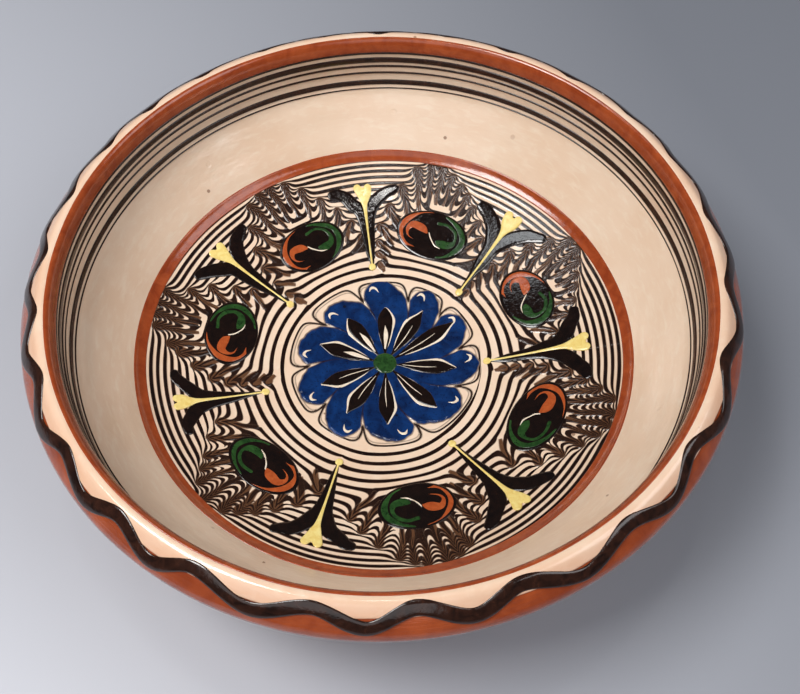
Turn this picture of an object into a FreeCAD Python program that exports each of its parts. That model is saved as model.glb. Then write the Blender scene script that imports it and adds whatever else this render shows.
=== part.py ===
"""Deep slip-trailed dish: one thrown clay body and the layers of coloured slip laid on it.

Frame: +Z up, origin at the centre of the face the foot stands on. Millimetres.
Each layer of slip is a thin solid that lies face to face on the clay or on the white coat.
Three stepped skins of the inside surface (coat, thin slip, thick slip) are made once, and
each painted shape is the part of a skin that falls inside its own outline, or zone.
"""
import FreeCAD, Part
import math
import os
import Sketcher

DIMENSIONS = {
    # inside surface of the clay
    "floor_height": 10.4,
    "dish_radius": 228.5,
    "well_start": 91.4,
    "well_radius": 9.0,
    "wall_angle": 51.0,
    "shoulder_radius": 17.0,
    "throat_radius": 112.6,
    "throat_height": 71.0,
    # rim
    "rim_radius": 125.0,
    "crest_height": 77.4,
    "crest_radius": 2.6,
    "flare_radius": 12.0,
    "slope_radius": 32.0,
    "lip_radius": 5.0,
    "lip_height": 67.7,
    "undercut_radius": 3.0,
    # outside surface and foot
    "belly_radius": 119.7,
    "belly_height": 59.6,
    "belly_curve": 24.0,
    "hip_radius": 20.0,
    "underside_angle": 23.0,
    "foot_radius": 58.0,
    "foot_height": 8.0,
    "foot_taper": 1.0,
    "foot_width": 8.0,
    "recess_edge": 7.0,
    "recess_centre": 4.2,
    # slip layers
    "coat_thickness": 0.4,
    "slip_thickness": 0.3,
    "core_depth": 3.2,
    "core_well_height": 29.6,
    "cream_radius": 124.0,
    "well_band_inner": 91.4,
    "well_band_outer": 95.3,
    "rim_band_foot": 71.8,
    "rim_band_radius": 114.9,
    "edge_line_foot": 70.9,
    # wavy line on the rim
    "wave_count": 26,
    "wave_start": 11.0,
    "wave_middle": 120.4,
    "wave_swing": 1.7,
    "wave_width": 3.4,
    # rings on the floor
    "ring_first": 40.3,
    "ring_pitch": 2.4,
    "ring_width": 1.2,
    "ring_count": 22,
    # flower
    "flower_radius": 27.6,
    "scallop_radius": 9.2,
    "scallop_centre": 27.2,
    "petal_start": 7.4,
    "petal_length": 20.0,
    "petal_width": 6.4,
    "fringe_width": 0.9,
    "flower_centre_radius": 6.2,
    "petal_count": 10,
    # peacock eyes
    "crescent_inset": 0.9,
    "crescent_width": 3.4,
    "spot_radius": 2.1,
    "spot_offset": 4.6,
    # comb strokes, placed on two arches that rise from the sides of an eye
    "stroke_count": 11,
    "stroke_fan": 85.0,
    "stroke_root_radius": 0.9,
    "stroke_tip_radius": 2.3,
    "root_arch_width": 14.5,
    "root_arch_foot": 47.0,
    "root_arch_rise": 28.0,
    "tip_arch_width": 21.0,
    "tip_arch_foot": 50.0,
    "tip_arch_rise": 38.5,
    # tulips
    "tulip_foot_radius": 1.5,
}

# azimuth and distance of the centre, half length, half width, tilt from the tangent
EYES = [
    (23.6, 64.0, 14.2, 9.6, 0.0),
    (71.2, 61.0, 15.8, 10.2, -4.0),
    (120.4, 62.0, 14.5, 10.0, 3.0),
    (170.9, 61.5, 14.5, 10.0, 0.0),
    (227.5, 65.8, 15.4, 9.6, 2.0),
    (280.4, 65.8, 14.4, 9.9, 0.0),
    (333.3, 64.5, 16.2, 10.0, -3.0),
]

# azimuth and distance of the foot of the stem, length, lean to the left in degrees
TULIPS = [
    (-1.6, 40.6, 38.4, 7.0),
    (45.9, 43.8, 38.6, 6.5),
    (96.9, 44.6, 35.0, 0.0),
    (146.5, 46.6, 36.6, 0.0),
    (198.3, 48.6, 32.8, -1.5),
    (249.5, 48.2, 35.4, 8.0),
    (304.0, 45.4, 36.2, 6.5),
]

# lines on the wall: height of the lower edge and width, from the lowest up
WALL_LINES = [(53.1, 0.6), (54.9, 2.3), (60.5, 1.1), (63.9, 1.2), (66.3, 2.7)]

# outlines in tulip lengths, across and along, from the foot of the stem to the top: the whole of
# the right leaf, and the right half of the straight-sided stem with its two-lobed bulb
LEAF_OUTLINE = [(0.0, 0.0), (0.055, 0.25), (0.10, 0.52), (0.20, 0.78), (0.40, 0.93), (0.43, 1.01),
                (0.36, 1.05), (0.18, 0.96), (0.06, 0.72), (0.012, 0.40)]
STEM_OUTLINE = [(0.011, 0.0), (0.025, 0.72), (0.088, 0.92), (0.07, 1.0)]
BULB_NOTCH = 0.95

ZONE_BASE = 5.0       # zones on the floor stand clear of the clay's underside and of the rim
ZONE_HEIGHT = 38.0
WELL_ZONE_HEIGHT = 50.0   # zones from the table up that end above the well and above the rim
COAT_ZONE_HEIGHT = 90.0
RIM_ZONE_BASE = 60.0
RIM_ZONE_HEIGHT = 22.0
POINTS_PER_WAVE = 8
BITE_MARGIN = 0.5     # how much blunter the oval is that a crescent is cut with
UP = FreeCAD.Vector(0, 0, 1)
MIDDLE_RINGS = 3      # rings below this number lie inside the motifs
OUTER_RINGS = 19      # rings from this number on lie outside them

doc = FreeCAD.newDocument("painted_dish")
sheet = doc.addObject("Spreadsheet::Sheet", "Sizes")


def fill_sheet():
    for row, (alias, value) in enumerate(DIMENSIONS.items(), start=1):
        sheet.set(f"A{row}", alias)
        sheet.set(f"B{row}", str(value))
        sheet.setAlias(f"B{row}", alias)
    doc.recompute()


def size(alias):
    return float(sheet.get(alias))


# ---------------------------------------------------------------- turned sections

class Chain:
    """Tangent arcs and lines, walked from a start point with a heading in degrees."""

    def __init__(self, across, up, heading):
        self.point = FreeCAD.Vector(across, up, 0)
        self.heading = math.radians(heading)
        self.edges = []

    def line(self, length):
        end = self.point + self._along() * length
        self.edges.append((Part.LineSegment(self.point, end), True))
        self.point = end

    def arc(self, radius, heading):
        """Turn to a heading on an arc; a left turn keeps the arc's own direction."""
        target = math.radians(heading)
        left = target > self.heading
        side = 1 if left else -1
        centre = self.point + self._left() * (radius * side)
        first = self.heading - side * math.pi / 2
        last = target - side * math.pi / 2
        circle = Part.Circle(centre, UP, radius)
        self.edges.append((Part.ArcOfCircle(circle, min(first, last), max(first, last)), left))
        self.heading = target
        self.point = centre + FreeCAD.Vector(math.cos(last), math.sin(last), 0) * radius

    def _along(self):
        return FreeCAD.Vector(math.cos(self.heading), math.sin(self.heading), 0)

    def _left(self):
        return FreeCAD.Vector(-math.sin(self.heading), math.cos(self.heading), 0)


def dish_heading():
    return math.degrees(math.asin(size("well_start") / size("dish_radius")))


def rim_headings(lift):
    """Headings where the flare meets the crest and where the crest meets the outer slope."""
    flare = size("flare_radius") + lift
    crest = size("crest_radius") + lift
    slope = size("slope_radius") + lift
    lip = size("lip_radius") + lift
    flare_centre_across = size("throat_radius") - lift + flare
    rise = size("crest_height") - size("crest_radius") - size("throat_height")
    flare_turn = math.degrees(math.asin(rise / (flare - crest)))
    crest_across = flare_centre_across - math.sqrt((flare - crest) ** 2 - rise ** 2)
    crest_up = size("crest_height") - size("crest_radius")
    lip_across = size("rim_radius") - size("lip_radius")
    lip_up = size("lip_height")
    # the slope's centre is at (slope - crest) from one centre and (slope - lip) from the other
    gap_across = lip_across - crest_across
    gap_up = lip_up - crest_up
    gap = math.hypot(gap_across, gap_up)
    near = slope - crest
    far = slope - lip
    along = (near ** 2 - far ** 2 + gap ** 2) / (2 * gap)
    aside = math.sqrt(near ** 2 - along ** 2)
    centre_across = crest_across + (gap_across * along + gap_up * aside) / gap
    centre_up = crest_up + (gap_up * along - gap_across * aside) / gap
    crest_end = math.degrees(math.atan2(crest_up - centre_up, crest_across - centre_across)) - 90
    slope_end = math.degrees(math.atan2(lip_up - centre_up, lip_across - centre_across)) - 90
    return 90 - flare_turn, crest_end, slope_end


def walk_inside(lift):
    """The inside surface and the rim as far as its widest point, raised by lift."""
    chain = Chain(0, size("floor_height") + lift, 0)
    flare_end, crest_end, slope_end = rim_headings(lift)
    chain.arc(size("dish_radius") - lift, dish_heading())
    chain.arc(size("well_radius") - lift, size("wall_angle"))
    shoulder = size("shoulder_radius") - lift
    wall_angle = math.radians(size("wall_angle"))
    shoulder_run = shoulder * (1 - math.sin(wall_angle))
    wall_run = size("throat_radius") - lift - shoulder_run - chain.point.x
    chain.line(wall_run / math.cos(wall_angle))
    chain.arc(shoulder, 90)
    chain.line(size("throat_height") - chain.point.y)
    chain.arc(size("flare_radius") + lift, flare_end)
    chain.arc(size("crest_radius") + lift, crest_end)
    chain.arc(size("slope_radius") + lift, slope_end)
    return chain


def add_chain(sketch, chain):
    """Add a chain's edges and join each to the next with a tangent end."""
    first = sketch.GeometryCount
    for geometry, _ in chain.edges:
        sketch.addGeometry(geometry, False)
    for number in range(len(chain.edges) - 1):
        here_forward = chain.edges[number][1]
        next_forward = chain.edges[number + 1][1]
        here_end = 2 if here_forward else 1
        next_start = 1 if next_forward else 2
        sketch.addConstraint(Sketcher.Constraint(
            "Tangent", first + number, here_end, first + number + 1, next_start))


def bind(sketch, kind, places, value, expression):
    """Add a dimension and bind it to the sheet."""
    index = sketch.addConstraint(Sketcher.Constraint(kind, *places, value))
    sketch.setExpression(f"Constraints[{index}]", expression)


def bind_inside(sketch, lift, lift_text):
    """Dimension the inside chain: geometry 0 to 8 of the sketch."""
    bind(sketch, "Radius", (0,), size("dish_radius") - lift, f"Sizes.dish_radius - {lift_text}")
    bind(sketch, "Radius", (1,), size("well_radius") - lift, f"Sizes.well_radius - {lift_text}")
    bind(sketch, "Radius", (3,), size("shoulder_radius") - lift, f"Sizes.shoulder_radius - {lift_text}")
    for number, alias in ((5, "flare_radius"), (6, "crest_radius"), (7, "slope_radius"), (8, "lip_radius")):
        bind(sketch, "Radius", (number,), size(alias) + lift, f"Sizes.{alias} + {lift_text}")
    sketch.addConstraint(Sketcher.Constraint("PointOnObject", 0, 1, -2))
    sketch.addConstraint(Sketcher.Constraint("PointOnObject", 0, 3, -2))
    bind(sketch, "DistanceY", (0, 1), size("floor_height") + lift, f"Sizes.floor_height + {lift_text}")
    scale = (size("dish_radius") - lift) / size("dish_radius")
    bind(sketch, "DistanceX", (0, 2), size("well_start") * scale,
         f"Sizes.well_start * (Sizes.dish_radius - {lift_text}) / Sizes.dish_radius")
    bind(sketch, "Angle", (2,), math.radians(size("wall_angle")), "Sizes.wall_angle * 1 deg")
    sketch.addConstraint(Sketcher.Constraint("Vertical", 4))
    bind(sketch, "DistanceX", (4, 2), size("throat_radius") - lift, f"Sizes.throat_radius - {lift_text}")
    bind(sketch, "DistanceY", (4, 2), size("throat_height"), "Sizes.throat_height")
    bind(sketch, "DistanceY", (6, 3), size("crest_height") - size("crest_radius"),
         "Sizes.crest_height - Sizes.crest_radius")
    bind(sketch, "DistanceX", (8, 3), size("rim_radius") - size("lip_radius"),
         "Sizes.rim_radius - Sizes.lip_radius")
    bind(sketch, "DistanceY", (8, 3), size("lip_height"), "Sizes.lip_height")


def join(sketch, first, first_end, second, second_end):
    sketch.addConstraint(Sketcher.Constraint("Coincident", first, first_end, second, second_end))


def body_sketch(body, name):
    sketch = body.newObject("Sketcher::SketchObject", name)
    plane = [item for item in body.Origin.OriginFeatures if item.Role == "XZ_Plane"][0]
    sketch.AttachmentSupport = [(plane, "")]
    sketch.MapMode = "FlatFace"
    return sketch


def add_corner_lines(sketch, start, corners):
    """Straight lines through corners, each given as a pair of values and a pair of expressions."""
    first = sketch.GeometryCount
    point = start
    for number, (across, up, across_text, up_text) in enumerate(corners):
        end = FreeCAD.Vector(across, up, 0)
        sketch.addGeometry(Part.LineSegment(point, end), False)
        if number:
            join(sketch, first + number - 1, 2, first + number, 1)
        if across:
            bind(sketch, "DistanceX", (first + number, 2), across, across_text)
        else:
            sketch.addConstraint(Sketcher.Constraint("PointOnObject", first + number, 2, -2))
        if up:
            bind(sketch, "DistanceY", (first + number, 2), up, up_text)
        else:
            sketch.addConstraint(Sketcher.Constraint("PointOnObject", first + number, 2, -1))
        point = end
    return first, sketch.GeometryCount - 1


def close_on_axis(sketch, last, top_up):
    """The line up the axis that closes a section."""
    low = sketch.Geometry[last].EndPoint
    sketch.addGeometry(Part.LineSegment(low, FreeCAD.Vector(0, top_up, 0)), False)
    join(sketch, last, 2, last + 1, 1)
    join(sketch, last + 1, 2, 0, 1)


def revolve(body, sketch):
    turned = body.newObject("PartDesign::Revolution", f"{body.Name}_turned")
    turned.Profile = sketch
    turned.ReferenceAxis = (sketch, ["V_Axis"])
    turned.Angle = 360
    body.Tip = turned
    doc.recompute()


def undercut_heading():
    """Heading where the lip's curl meets the hollow under it."""
    across = size("belly_radius") + size("undercut_radius") - size("rim_radius") + size("lip_radius")
    reach = size("lip_radius") + size("undercut_radius")
    return -math.degrees(math.acos(across / reach)) - 90


def outer_wall_length(chain):
    """Length of the outer wall down to the curve that leads into the underside."""
    wall = math.radians(size("wall_angle"))
    under = math.radians(size("underside_angle"))
    across = chain.point.x - size("foot_radius")
    up = chain.point.y - size("foot_height")
    corner = (up * math.cos(under) - across * math.sin(under)) / math.sin(wall - under)
    return corner - size("hip_radius") * math.tan((wall - under) / 2)


def clay_body():
    """The thrown body: dished floor, flaring wall, everted rim and turned foot ring."""
    body = doc.addObject("PartDesign::Body", "clay_body")
    body.Label = "clay_body"
    sketch = body_sketch(body, "clay_section")
    chain = walk_inside(0.0)
    outer_wall = size("wall_angle") - 180
    chain.arc(size("lip_radius"), undercut_heading())
    chain.arc(size("undercut_radius"), -90)
    chain.line(chain.point.y - size("belly_height"))
    chain.arc(size("belly_curve"), outer_wall)
    chain.line(outer_wall_length(chain))
    chain.arc(size("hip_radius"), size("underside_angle") - 180)
    run = (chain.point.x - size("foot_radius")) / math.cos(math.radians(size("underside_angle")))
    chain.line(run)
    add_chain(sketch, chain)
    bind_inside(sketch, 0.0, "0")
    for number, alias in ((9, "undercut_radius"), (11, "belly_curve"), (13, "hip_radius")):
        bind(sketch, "Radius", (number,), size(alias), f"Sizes.{alias}")
    sketch.addConstraint(Sketcher.Constraint("Vertical", 10))
    bind(sketch, "DistanceX", (10, 2), size("belly_radius"), "Sizes.belly_radius")
    bind(sketch, "DistanceY", (10, 2), size("belly_height"), "Sizes.belly_height")
    sketch.addConstraint(Sketcher.Constraint("Parallel", 12, 2))
    foot_inner = size("foot_radius") - size("foot_width")
    first, last = add_corner_lines(sketch, chain.point, [
        (size("foot_radius") - size("foot_taper"), 0, "Sizes.foot_radius - Sizes.foot_taper", "0"),
        (foot_inner, 0, "Sizes.foot_radius - Sizes.foot_width", "0"),
        (foot_inner - size("foot_taper"), size("recess_edge"),
         "Sizes.foot_radius - Sizes.foot_width - Sizes.foot_taper", "Sizes.recess_edge"),
        (0, size("recess_centre"), "0", "Sizes.recess_centre"),
    ])
    join(sketch, 14, 2, first, 1)
    bind(sketch, "DistanceX", (14, 2), size("foot_radius"), "Sizes.foot_radius")
    bind(sketch, "DistanceY", (14, 2), size("foot_height"), "Sizes.foot_height")
    bind(sketch, "Angle", (14,), math.radians(size("underside_angle") - 180),
         "(Sizes.underside_angle - 180) * 1 deg")
    close_on_axis(sketch, last, size("floor_height"))
    revolve(body, sketch)
    return body


def skin_blank(name, lift, lift_text):
    """Everything from the inside surface, raised by lift, down to a line inside the clay."""
    body = doc.addObject("PartDesign::Body", name)
    sketch = body_sketch(body, f"{name}_section")
    chain = walk_inside(lift)
    chain.arc(size("lip_radius") + lift, -90)
    add_chain(sketch, chain)
    bind_inside(sketch, lift, lift_text)
    bind(sketch, "DistanceY", (8, 1), size("lip_height"), "Sizes.lip_height")
    depth = size("core_depth")
    first, last = add_corner_lines(sketch, chain.point, [
        (size("rim_radius") - size("lip_radius"), size("lip_height"),
         "Sizes.rim_radius - Sizes.lip_radius", "Sizes.lip_height"),
        (size("throat_radius") + depth, size("belly_height") - depth,
         "Sizes.throat_radius + Sizes.core_depth", "Sizes.belly_height - Sizes.core_depth"),
        (size("well_start") + 2 * depth, size("core_well_height"),
         "Sizes.well_start + 2 * Sizes.core_depth", "Sizes.core_well_height"),
        (size("foot_radius"), size("floor_height") + depth,
         "Sizes.foot_radius", "Sizes.floor_height + Sizes.core_depth"),
        (0, size("floor_height") - depth, "0", "Sizes.floor_height - Sizes.core_depth"),
    ])
    join(sketch, 8, 1, first, 1)
    close_on_axis(sketch, last, size("floor_height") + lift)
    revolve(body, sketch)
    return body


# ---------------------------------------------------------------- solids and booleans

NODES = []


def keep(feature, node):
    """Name a finished sub-part; its label is the name of its file."""
    feature.Label = node
    NODES.append(feature)


def cylinder(name, radius, height, base=0.0):
    """An upright cylinder about the dish's axis; each size is a number or an expression."""
    solid = doc.addObject("Part::Cylinder", name)
    solid.setExpression("Radius", str(radius))
    solid.setExpression("Height", str(height))
    solid.setExpression("Placement.Base.z", str(base))
    return solid


def post(name, radius, placement):
    """An upright cylinder through the floor at a place of its own."""
    solid = doc.addObject("Part::Cylinder", name)
    solid.setExpression("Radius", str(radius))
    solid.Height = ZONE_HEIGHT
    solid.Placement = placement
    return solid


def boolean(kind, name, base, tool):
    feature = doc.addObject(kind, name)
    feature.Base = base
    feature.Tool = tool
    return feature


def cut(name, base, tool):
    return boolean("Part::Cut", name, base, tool)


def common(name, base, tool):
    return boolean("Part::Common", name, base, tool)


def fuse(name, shapes):
    feature = doc.addObject("Part::MultiFuse", name)
    feature.Shapes = shapes
    return feature


def tube(name, inner, outer, height, base=0.0):
    return cut(name, cylinder(f"{name}_outer", outer, height, base),
               cylinder(f"{name}_inner", inner, height, base))


def placed(across, along, up=0.0, turn=0.0):
    return FreeCAD.Placement(FreeCAD.Vector(across, along, up), FreeCAD.Rotation(UP, turn))


def towards(azimuth):
    """Turn so that +Y points outwards at this azimuth and +X points clockwise."""
    return placed(0, 0, 0, azimuth - 90)


def oval(name, half_length, half_width, placement):
    """An upright elliptical prism through the floor."""
    ellipse = doc.addObject("Part::Ellipse", f"{name}_line")
    ellipse.setExpression("MajorRadius", half_length)
    ellipse.setExpression("MinorRadius", half_width)
    ellipse.Placement = placement
    prism = doc.addObject("Part::Extrusion", name)
    prism.Base = ellipse
    prism.DirMode = "Custom"
    prism.Dir = UP
    prism.LengthFwd = ZONE_HEIGHT
    prism.Solid = True
    return prism


def free_shape(name, shape):
    """A solid whose outline is worked out in code from the sheet's sizes."""
    feature = doc.addObject("Part::Feature", name)
    feature.Shape = shape
    return feature


def upright(wires, placement, height=ZONE_HEIGHT):
    """A prism on a closed wire; a second wire inside the first is a hole."""
    solid = Part.makeFace(wires, "Part::FaceMakerBullseye").extrude(UP * height)
    solid.Placement = placement
    return solid


def closed_curve(points):
    curve = Part.BSplineCurve()
    curve.interpolate([FreeCAD.Vector(across, along, 0) for across, along in points], PeriodicFlag=True)
    return Part.Wire([curve.toShape()])


# ---------------------------------------------------------------- coat, bands and lines

def bands_and_lines(coat_skin, thin_skin, thick_skin):
    """The white coat over the inside, the plain turned bands and lines, and the wavy line."""
    cream_zone = cylinder("cream_zone", "Sizes.cream_radius", COAT_ZONE_HEIGHT)
    keep(common("cream_coat", coat_skin, cream_zone), "cream_slip")
    well_zone = tube("well_zone", "Sizes.well_band_inner", "Sizes.well_band_outer", WELL_ZONE_HEIGHT)
    keep(common("well_band_slip", thin_skin, well_zone), "well_band")
    rim_zone = cylinder("rim_zone", "Sizes.rim_band_radius", RIM_ZONE_HEIGHT, "Sizes.rim_band_foot")
    keep(common("rim_band_slip", thin_skin, rim_zone), "rim_band")
    edge_height = "Sizes.rim_band_foot - Sizes.edge_line_foot"
    edge_zone = cylinder("edge_zone", "Sizes.rim_band_radius", edge_height, "Sizes.edge_line_foot")
    keep(common("edge_line_slip", thin_skin, edge_zone), "rim_edge_line")
    for number, (foot, width) in enumerate(WALL_LINES, start=1):
        zone = cylinder(f"wall_zone_{number}", "Sizes.rim_band_radius", width, foot)
        keep(common(f"wall_slip_{number}", thin_skin, zone), f"wall_line_{number}")
    wave_zone = free_shape("wave_zone", wave_ribbon())
    keep(common("wave_slip", thick_skin, wave_zone), "rim_wave_line")


def wave_ribbon():
    """A wavy ribbon round the rim, between two closed lines of the same wave in short steps."""
    waves = int(size("wave_count"))
    steps = waves * POINTS_PER_WAVE
    half = size("wave_width") / 2
    start = math.radians(size("wave_start"))
    wires = []
    for side in (half, -half):
        points = []
        for step in range(steps):
            angle = 2 * math.pi * step / steps + start
            radius = size("wave_middle") + side - size("wave_swing") * math.cos(waves * (angle - start))
            points.append(FreeCAD.Vector(radius * math.cos(angle), radius * math.sin(angle), 0))
        wires.append(Part.makePolygon(points + points[:1]))
    return upright(wires, placed(0, 0, RIM_ZONE_BASE), RIM_ZONE_HEIGHT)


# ---------------------------------------------------------------- flower

def petal_ring(extra):
    """All the petals as one group of prisms, each wider by extra all round."""
    length = size("petal_length") + 2 * extra
    half_width = size("petal_width") / 2 + extra
    middle = size("petal_start") + size("petal_length") / 2
    foot = FreeCAD.Vector(0, -length / 2, 0)
    tip = FreeCAD.Vector(0, length / 2, 0)
    right = Part.Arc(foot, FreeCAD.Vector(half_width, 0, 0), tip).toShape()
    left = Part.Arc(tip, FreeCAD.Vector(-half_width, 0, 0), foot).toShape()
    count = int(size("petal_count"))
    solids = []
    for number in range(count):
        place = towards(number * 360 / count) * placed(0, middle, ZONE_BASE)
        solids.append(upright([Part.Wire([right, left])], place))
    return Part.makeCompound(solids)


def flower(thin_skin, thick_skin):
    """A scalloped blue patch with fringed dark petals and a green spot let into it."""
    count = int(size("petal_count"))
    scallops = [cylinder("flower_disc", "Sizes.flower_radius", ZONE_HEIGHT, ZONE_BASE)]
    for number in range(count):
        place = towards(number * 360 / count) * placed(0, size("scallop_centre"), ZONE_BASE)
        scallops.append(post(f"scallop_{number + 1}", "Sizes.scallop_radius", place))
    patch = fuse("flower_patch", scallops)
    petals = free_shape("petal_zone", petal_ring(0))
    fringed = free_shape("fringed_zone", petal_ring(size("fringe_width")))
    spot = cylinder("spot_zone", "Sizes.flower_centre_radius", ZONE_HEIGHT, ZONE_BASE)
    holes = fuse("flower_holes", [fringed, spot])
    keep(common("blue_slip", thin_skin, cut("blue_zone", patch, holes)), "blue_flower")
    keep(common("petal_slip", thick_skin, petals), "flower_petals")
    keep(common("fringe_slip", thin_skin, cut("fringe_zone", fringed, petals)), "petal_fringes")
    keep(common("spot_slip", thick_skin, spot), "flower_centre")
    return patch


# ---------------------------------------------------------------- peacock eyes

def eye(number, thin_skin, thick_skin):
    """A dark oval with an orange crescent and spot on its left and green ones on its right."""
    azimuth, distance, half_length, half_width, tilt = EYES[number - 1]
    place = towards(azimuth) * placed(0, distance, ZONE_BASE, tilt)
    ground = oval(f"eye_zone_{number}", str(half_length), str(half_width), place)
    colours = []
    for colour, side in (("orange", -1), ("green", 1)):
        name = f"{colour}_{number}"
        inset = oval(f"inset_{name}", f"{half_length} - Sizes.crescent_inset",
                     f"{half_width} - Sizes.crescent_inset", place)
        shift = -side * size("crescent_width")
        bite = oval(f"bite_{name}", f"{half_length} - Sizes.crescent_inset",
                    f"{half_width} - Sizes.crescent_inset + {BITE_MARGIN}", place * placed(shift, 0))
        crescent = cut(f"crescent_{name}", inset, bite)
        spot = post(f"spot_{name}", "Sizes.spot_radius", place * placed(side * size("spot_offset"), 0))
        zone = fuse(f"zone_{name}", [crescent, spot])
        keep(common(f"slip_{name}", thick_skin, zone), f"eye_{colour}_{number}")
        colours.append(zone)
    dark = cut(f"dark_zone_{number}", ground, fuse(f"colour_zone_{number}", colours))
    keep(common(f"eye_slip_{number}", thin_skin, dark), f"eye_ground_{number}")
    return ground


def stroke_wire(root, tip):
    """A tapered stroke with a round root and a rounder end."""
    along = (tip - root).normalize()
    aside = FreeCAD.Vector(-along.y, along.x, 0)
    thin = size("stroke_root_radius")
    thick = size("stroke_tip_radius")
    start = Part.Arc(root + aside * thin, root - along * thin, root - aside * thin).toShape()
    right = Part.LineSegment(root - aside * thin, tip - aside * thick).toShape()
    end = Part.Arc(tip - aside * thick, tip + along * thick, tip + aside * thick).toShape()
    left = Part.LineSegment(tip + aside * thick, root + aside * thin).toShape()
    return Part.Wire([start, right, end, left])


def stroke_lines():
    """Root and tip of each comb stroke of an eye, from one end of the fan to the other."""
    count = int(size("stroke_count"))
    lines = []
    for index in range(count):
        turn = math.radians(size("stroke_fan") * (2 * index / (count - 1) - 1))
        root = FreeCAD.Vector(size("root_arch_width") * math.sin(turn),
                              size("root_arch_foot") + size("root_arch_rise") * math.cos(turn), 0)
        tip = FreeCAD.Vector(size("tip_arch_width") * math.sin(turn),
                             size("tip_arch_foot") + size("tip_arch_rise") * math.cos(turn), 0)
        lines.append((root, tip))
    return lines


def stroke_group(number):
    """The comb strokes of one eye, fanned from a low arch to a wider, higher arch."""
    place = towards(EYES[number - 1][0]) * placed(0, 0, ZONE_BASE)
    solids = [upright([stroke_wire(root, tip)], place) for root, tip in stroke_lines()]
    return solids[0].multiFuse(solids[1:])


def combed_field(number):
    """The whole horseshoe that the comb strokes of one eye lie in."""
    place = towards(EYES[number - 1][0]) * placed(0, 0, ZONE_BASE)
    lines = stroke_lines()
    reach = size("stroke_tip_radius")
    outer = [tip + (tip - root).normalize() * reach for root, tip in lines]
    inner = [root for root, tip in reversed(lines)]
    return upright([Part.makePolygon(outer + inner + outer[:1])], place)


# ---------------------------------------------------------------- tulips

def stem_shape(length, place):
    """A round foot, a tapered stem and a bulb that is notched at the top."""
    right = [FreeCAD.Vector(across * length, along * length, 0) for across, along in STEM_OUTLINE]
    left = [FreeCAD.Vector(-point.x, point.y, 0) for point in reversed(right)]
    notch = FreeCAD.Vector(0, BULB_NOTCH * length, 0)
    blade = upright([Part.makePolygon(right + [notch] + left + [right[0]])], place)
    foot = upright([Part.Wire([Part.makeCircle(size("tulip_foot_radius"))])], place)
    return blade.fuse(foot)


def tulip(number, thin_skin, thick_skin):
    """Two dark leaves with a yellow stem and bulb let in between them."""
    azimuth, distance, length, lean = TULIPS[number - 1]
    place = towards(azimuth) * placed(0, distance, ZONE_BASE, lean)
    stem = stem_shape(length, place)
    leaves = []
    for side in (-1, 1):
        points = [(side * across * length, along * length) for across, along in LEAF_OUTLINE]
        leaves.append(upright([closed_curve(points)], place))
    stem_zone = free_shape(f"stem_zone_{number}", stem)
    leaf_zone = free_shape(f"leaf_zone_{number}", leaves[0].fuse(leaves[1]))
    dark = cut(f"dark_leaf_zone_{number}", leaf_zone, stem_zone)
    keep(common(f"leaf_slip_{number}", thin_skin, dark), f"tulip_leaves_{number}")
    keep(common(f"stem_slip_{number}", thick_skin, stem_zone), f"tulip_yellow_{number}")
    return [stem_zone, leaf_zone]


# ---------------------------------------------------------------- rings on the floor

def ring_lines(thin_skin, motifs):
    """Turned rings, drawn before the motifs and cut through by them."""
    groups = {"inner": [], "middle": [], "outer": []}
    for number in range(int(size("ring_count"))):
        middle = f"Sizes.ring_first + {number} * Sizes.ring_pitch"
        ring = tube(f"ring_{number + 1}", f"{middle} - Sizes.ring_width / 2",
                    f"{middle} + Sizes.ring_width / 2", ZONE_HEIGHT, ZONE_BASE)
        place = "inner" if number < MIDDLE_RINGS else "middle" if number < OUTER_RINGS else "outer"
        groups[place].append(ring)
    for place, rings in groups.items():
        clear = cut(f"{place}_rings_clear", fuse(f"{place}_rings", rings), motifs)
        keep(common(f"{place}_ring_slip", thin_skin, clear), f"ring_lines_{place}")


# ---------------------------------------------------------------- the dish

def build():
    """Make every sub-part of the dish."""
    clay = clay_body()
    keep(clay, "clay_body")
    coat = "Sizes.coat_thickness"
    coat_blank = skin_blank("coat_blank", size("coat_thickness"), coat)
    thin_blank = skin_blank("thin_blank", size("coat_thickness") + size("slip_thickness"),
                            f"({coat} + Sizes.slip_thickness)")
    thick_blank = skin_blank("thick_blank", size("coat_thickness") + 2 * size("slip_thickness"),
                             f"({coat} + 2 * Sizes.slip_thickness)")
    coat_skin = cut("coat_skin", coat_blank, clay)
    thin_skin = cut("thin_skin", thin_blank, coat_blank)
    thick_skin = cut("thick_skin", thick_blank, coat_blank)
    bands_and_lines(coat_skin, thin_skin, thick_skin)
    motifs = [flower(thin_skin, thick_skin)]
    sectors = range(1, len(EYES) + 1)
    tulips = []
    for number in sectors:
        tulips += tulip(number, thin_skin, thick_skin)
    tulip_zones = fuse("tulip_zones", tulips)
    for number in sectors:
        ground = eye(number, thin_skin, thick_skin)
        strokes = free_shape(f"stroke_zone_{number}", stroke_group(number))
        clear = cut(f"stroke_clear_{number}", strokes, fuse(f"stroke_stops_{number}", [ground, tulip_zones]))
        keep(common(f"stroke_slip_{number}", thin_skin, clear), f"comb_strokes_{number}")
        motifs += [ground, free_shape(f"field_zone_{number}", combed_field(number))]
    ring_lines(thin_skin, fuse("motif_zones", motifs + tulips))


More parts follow.
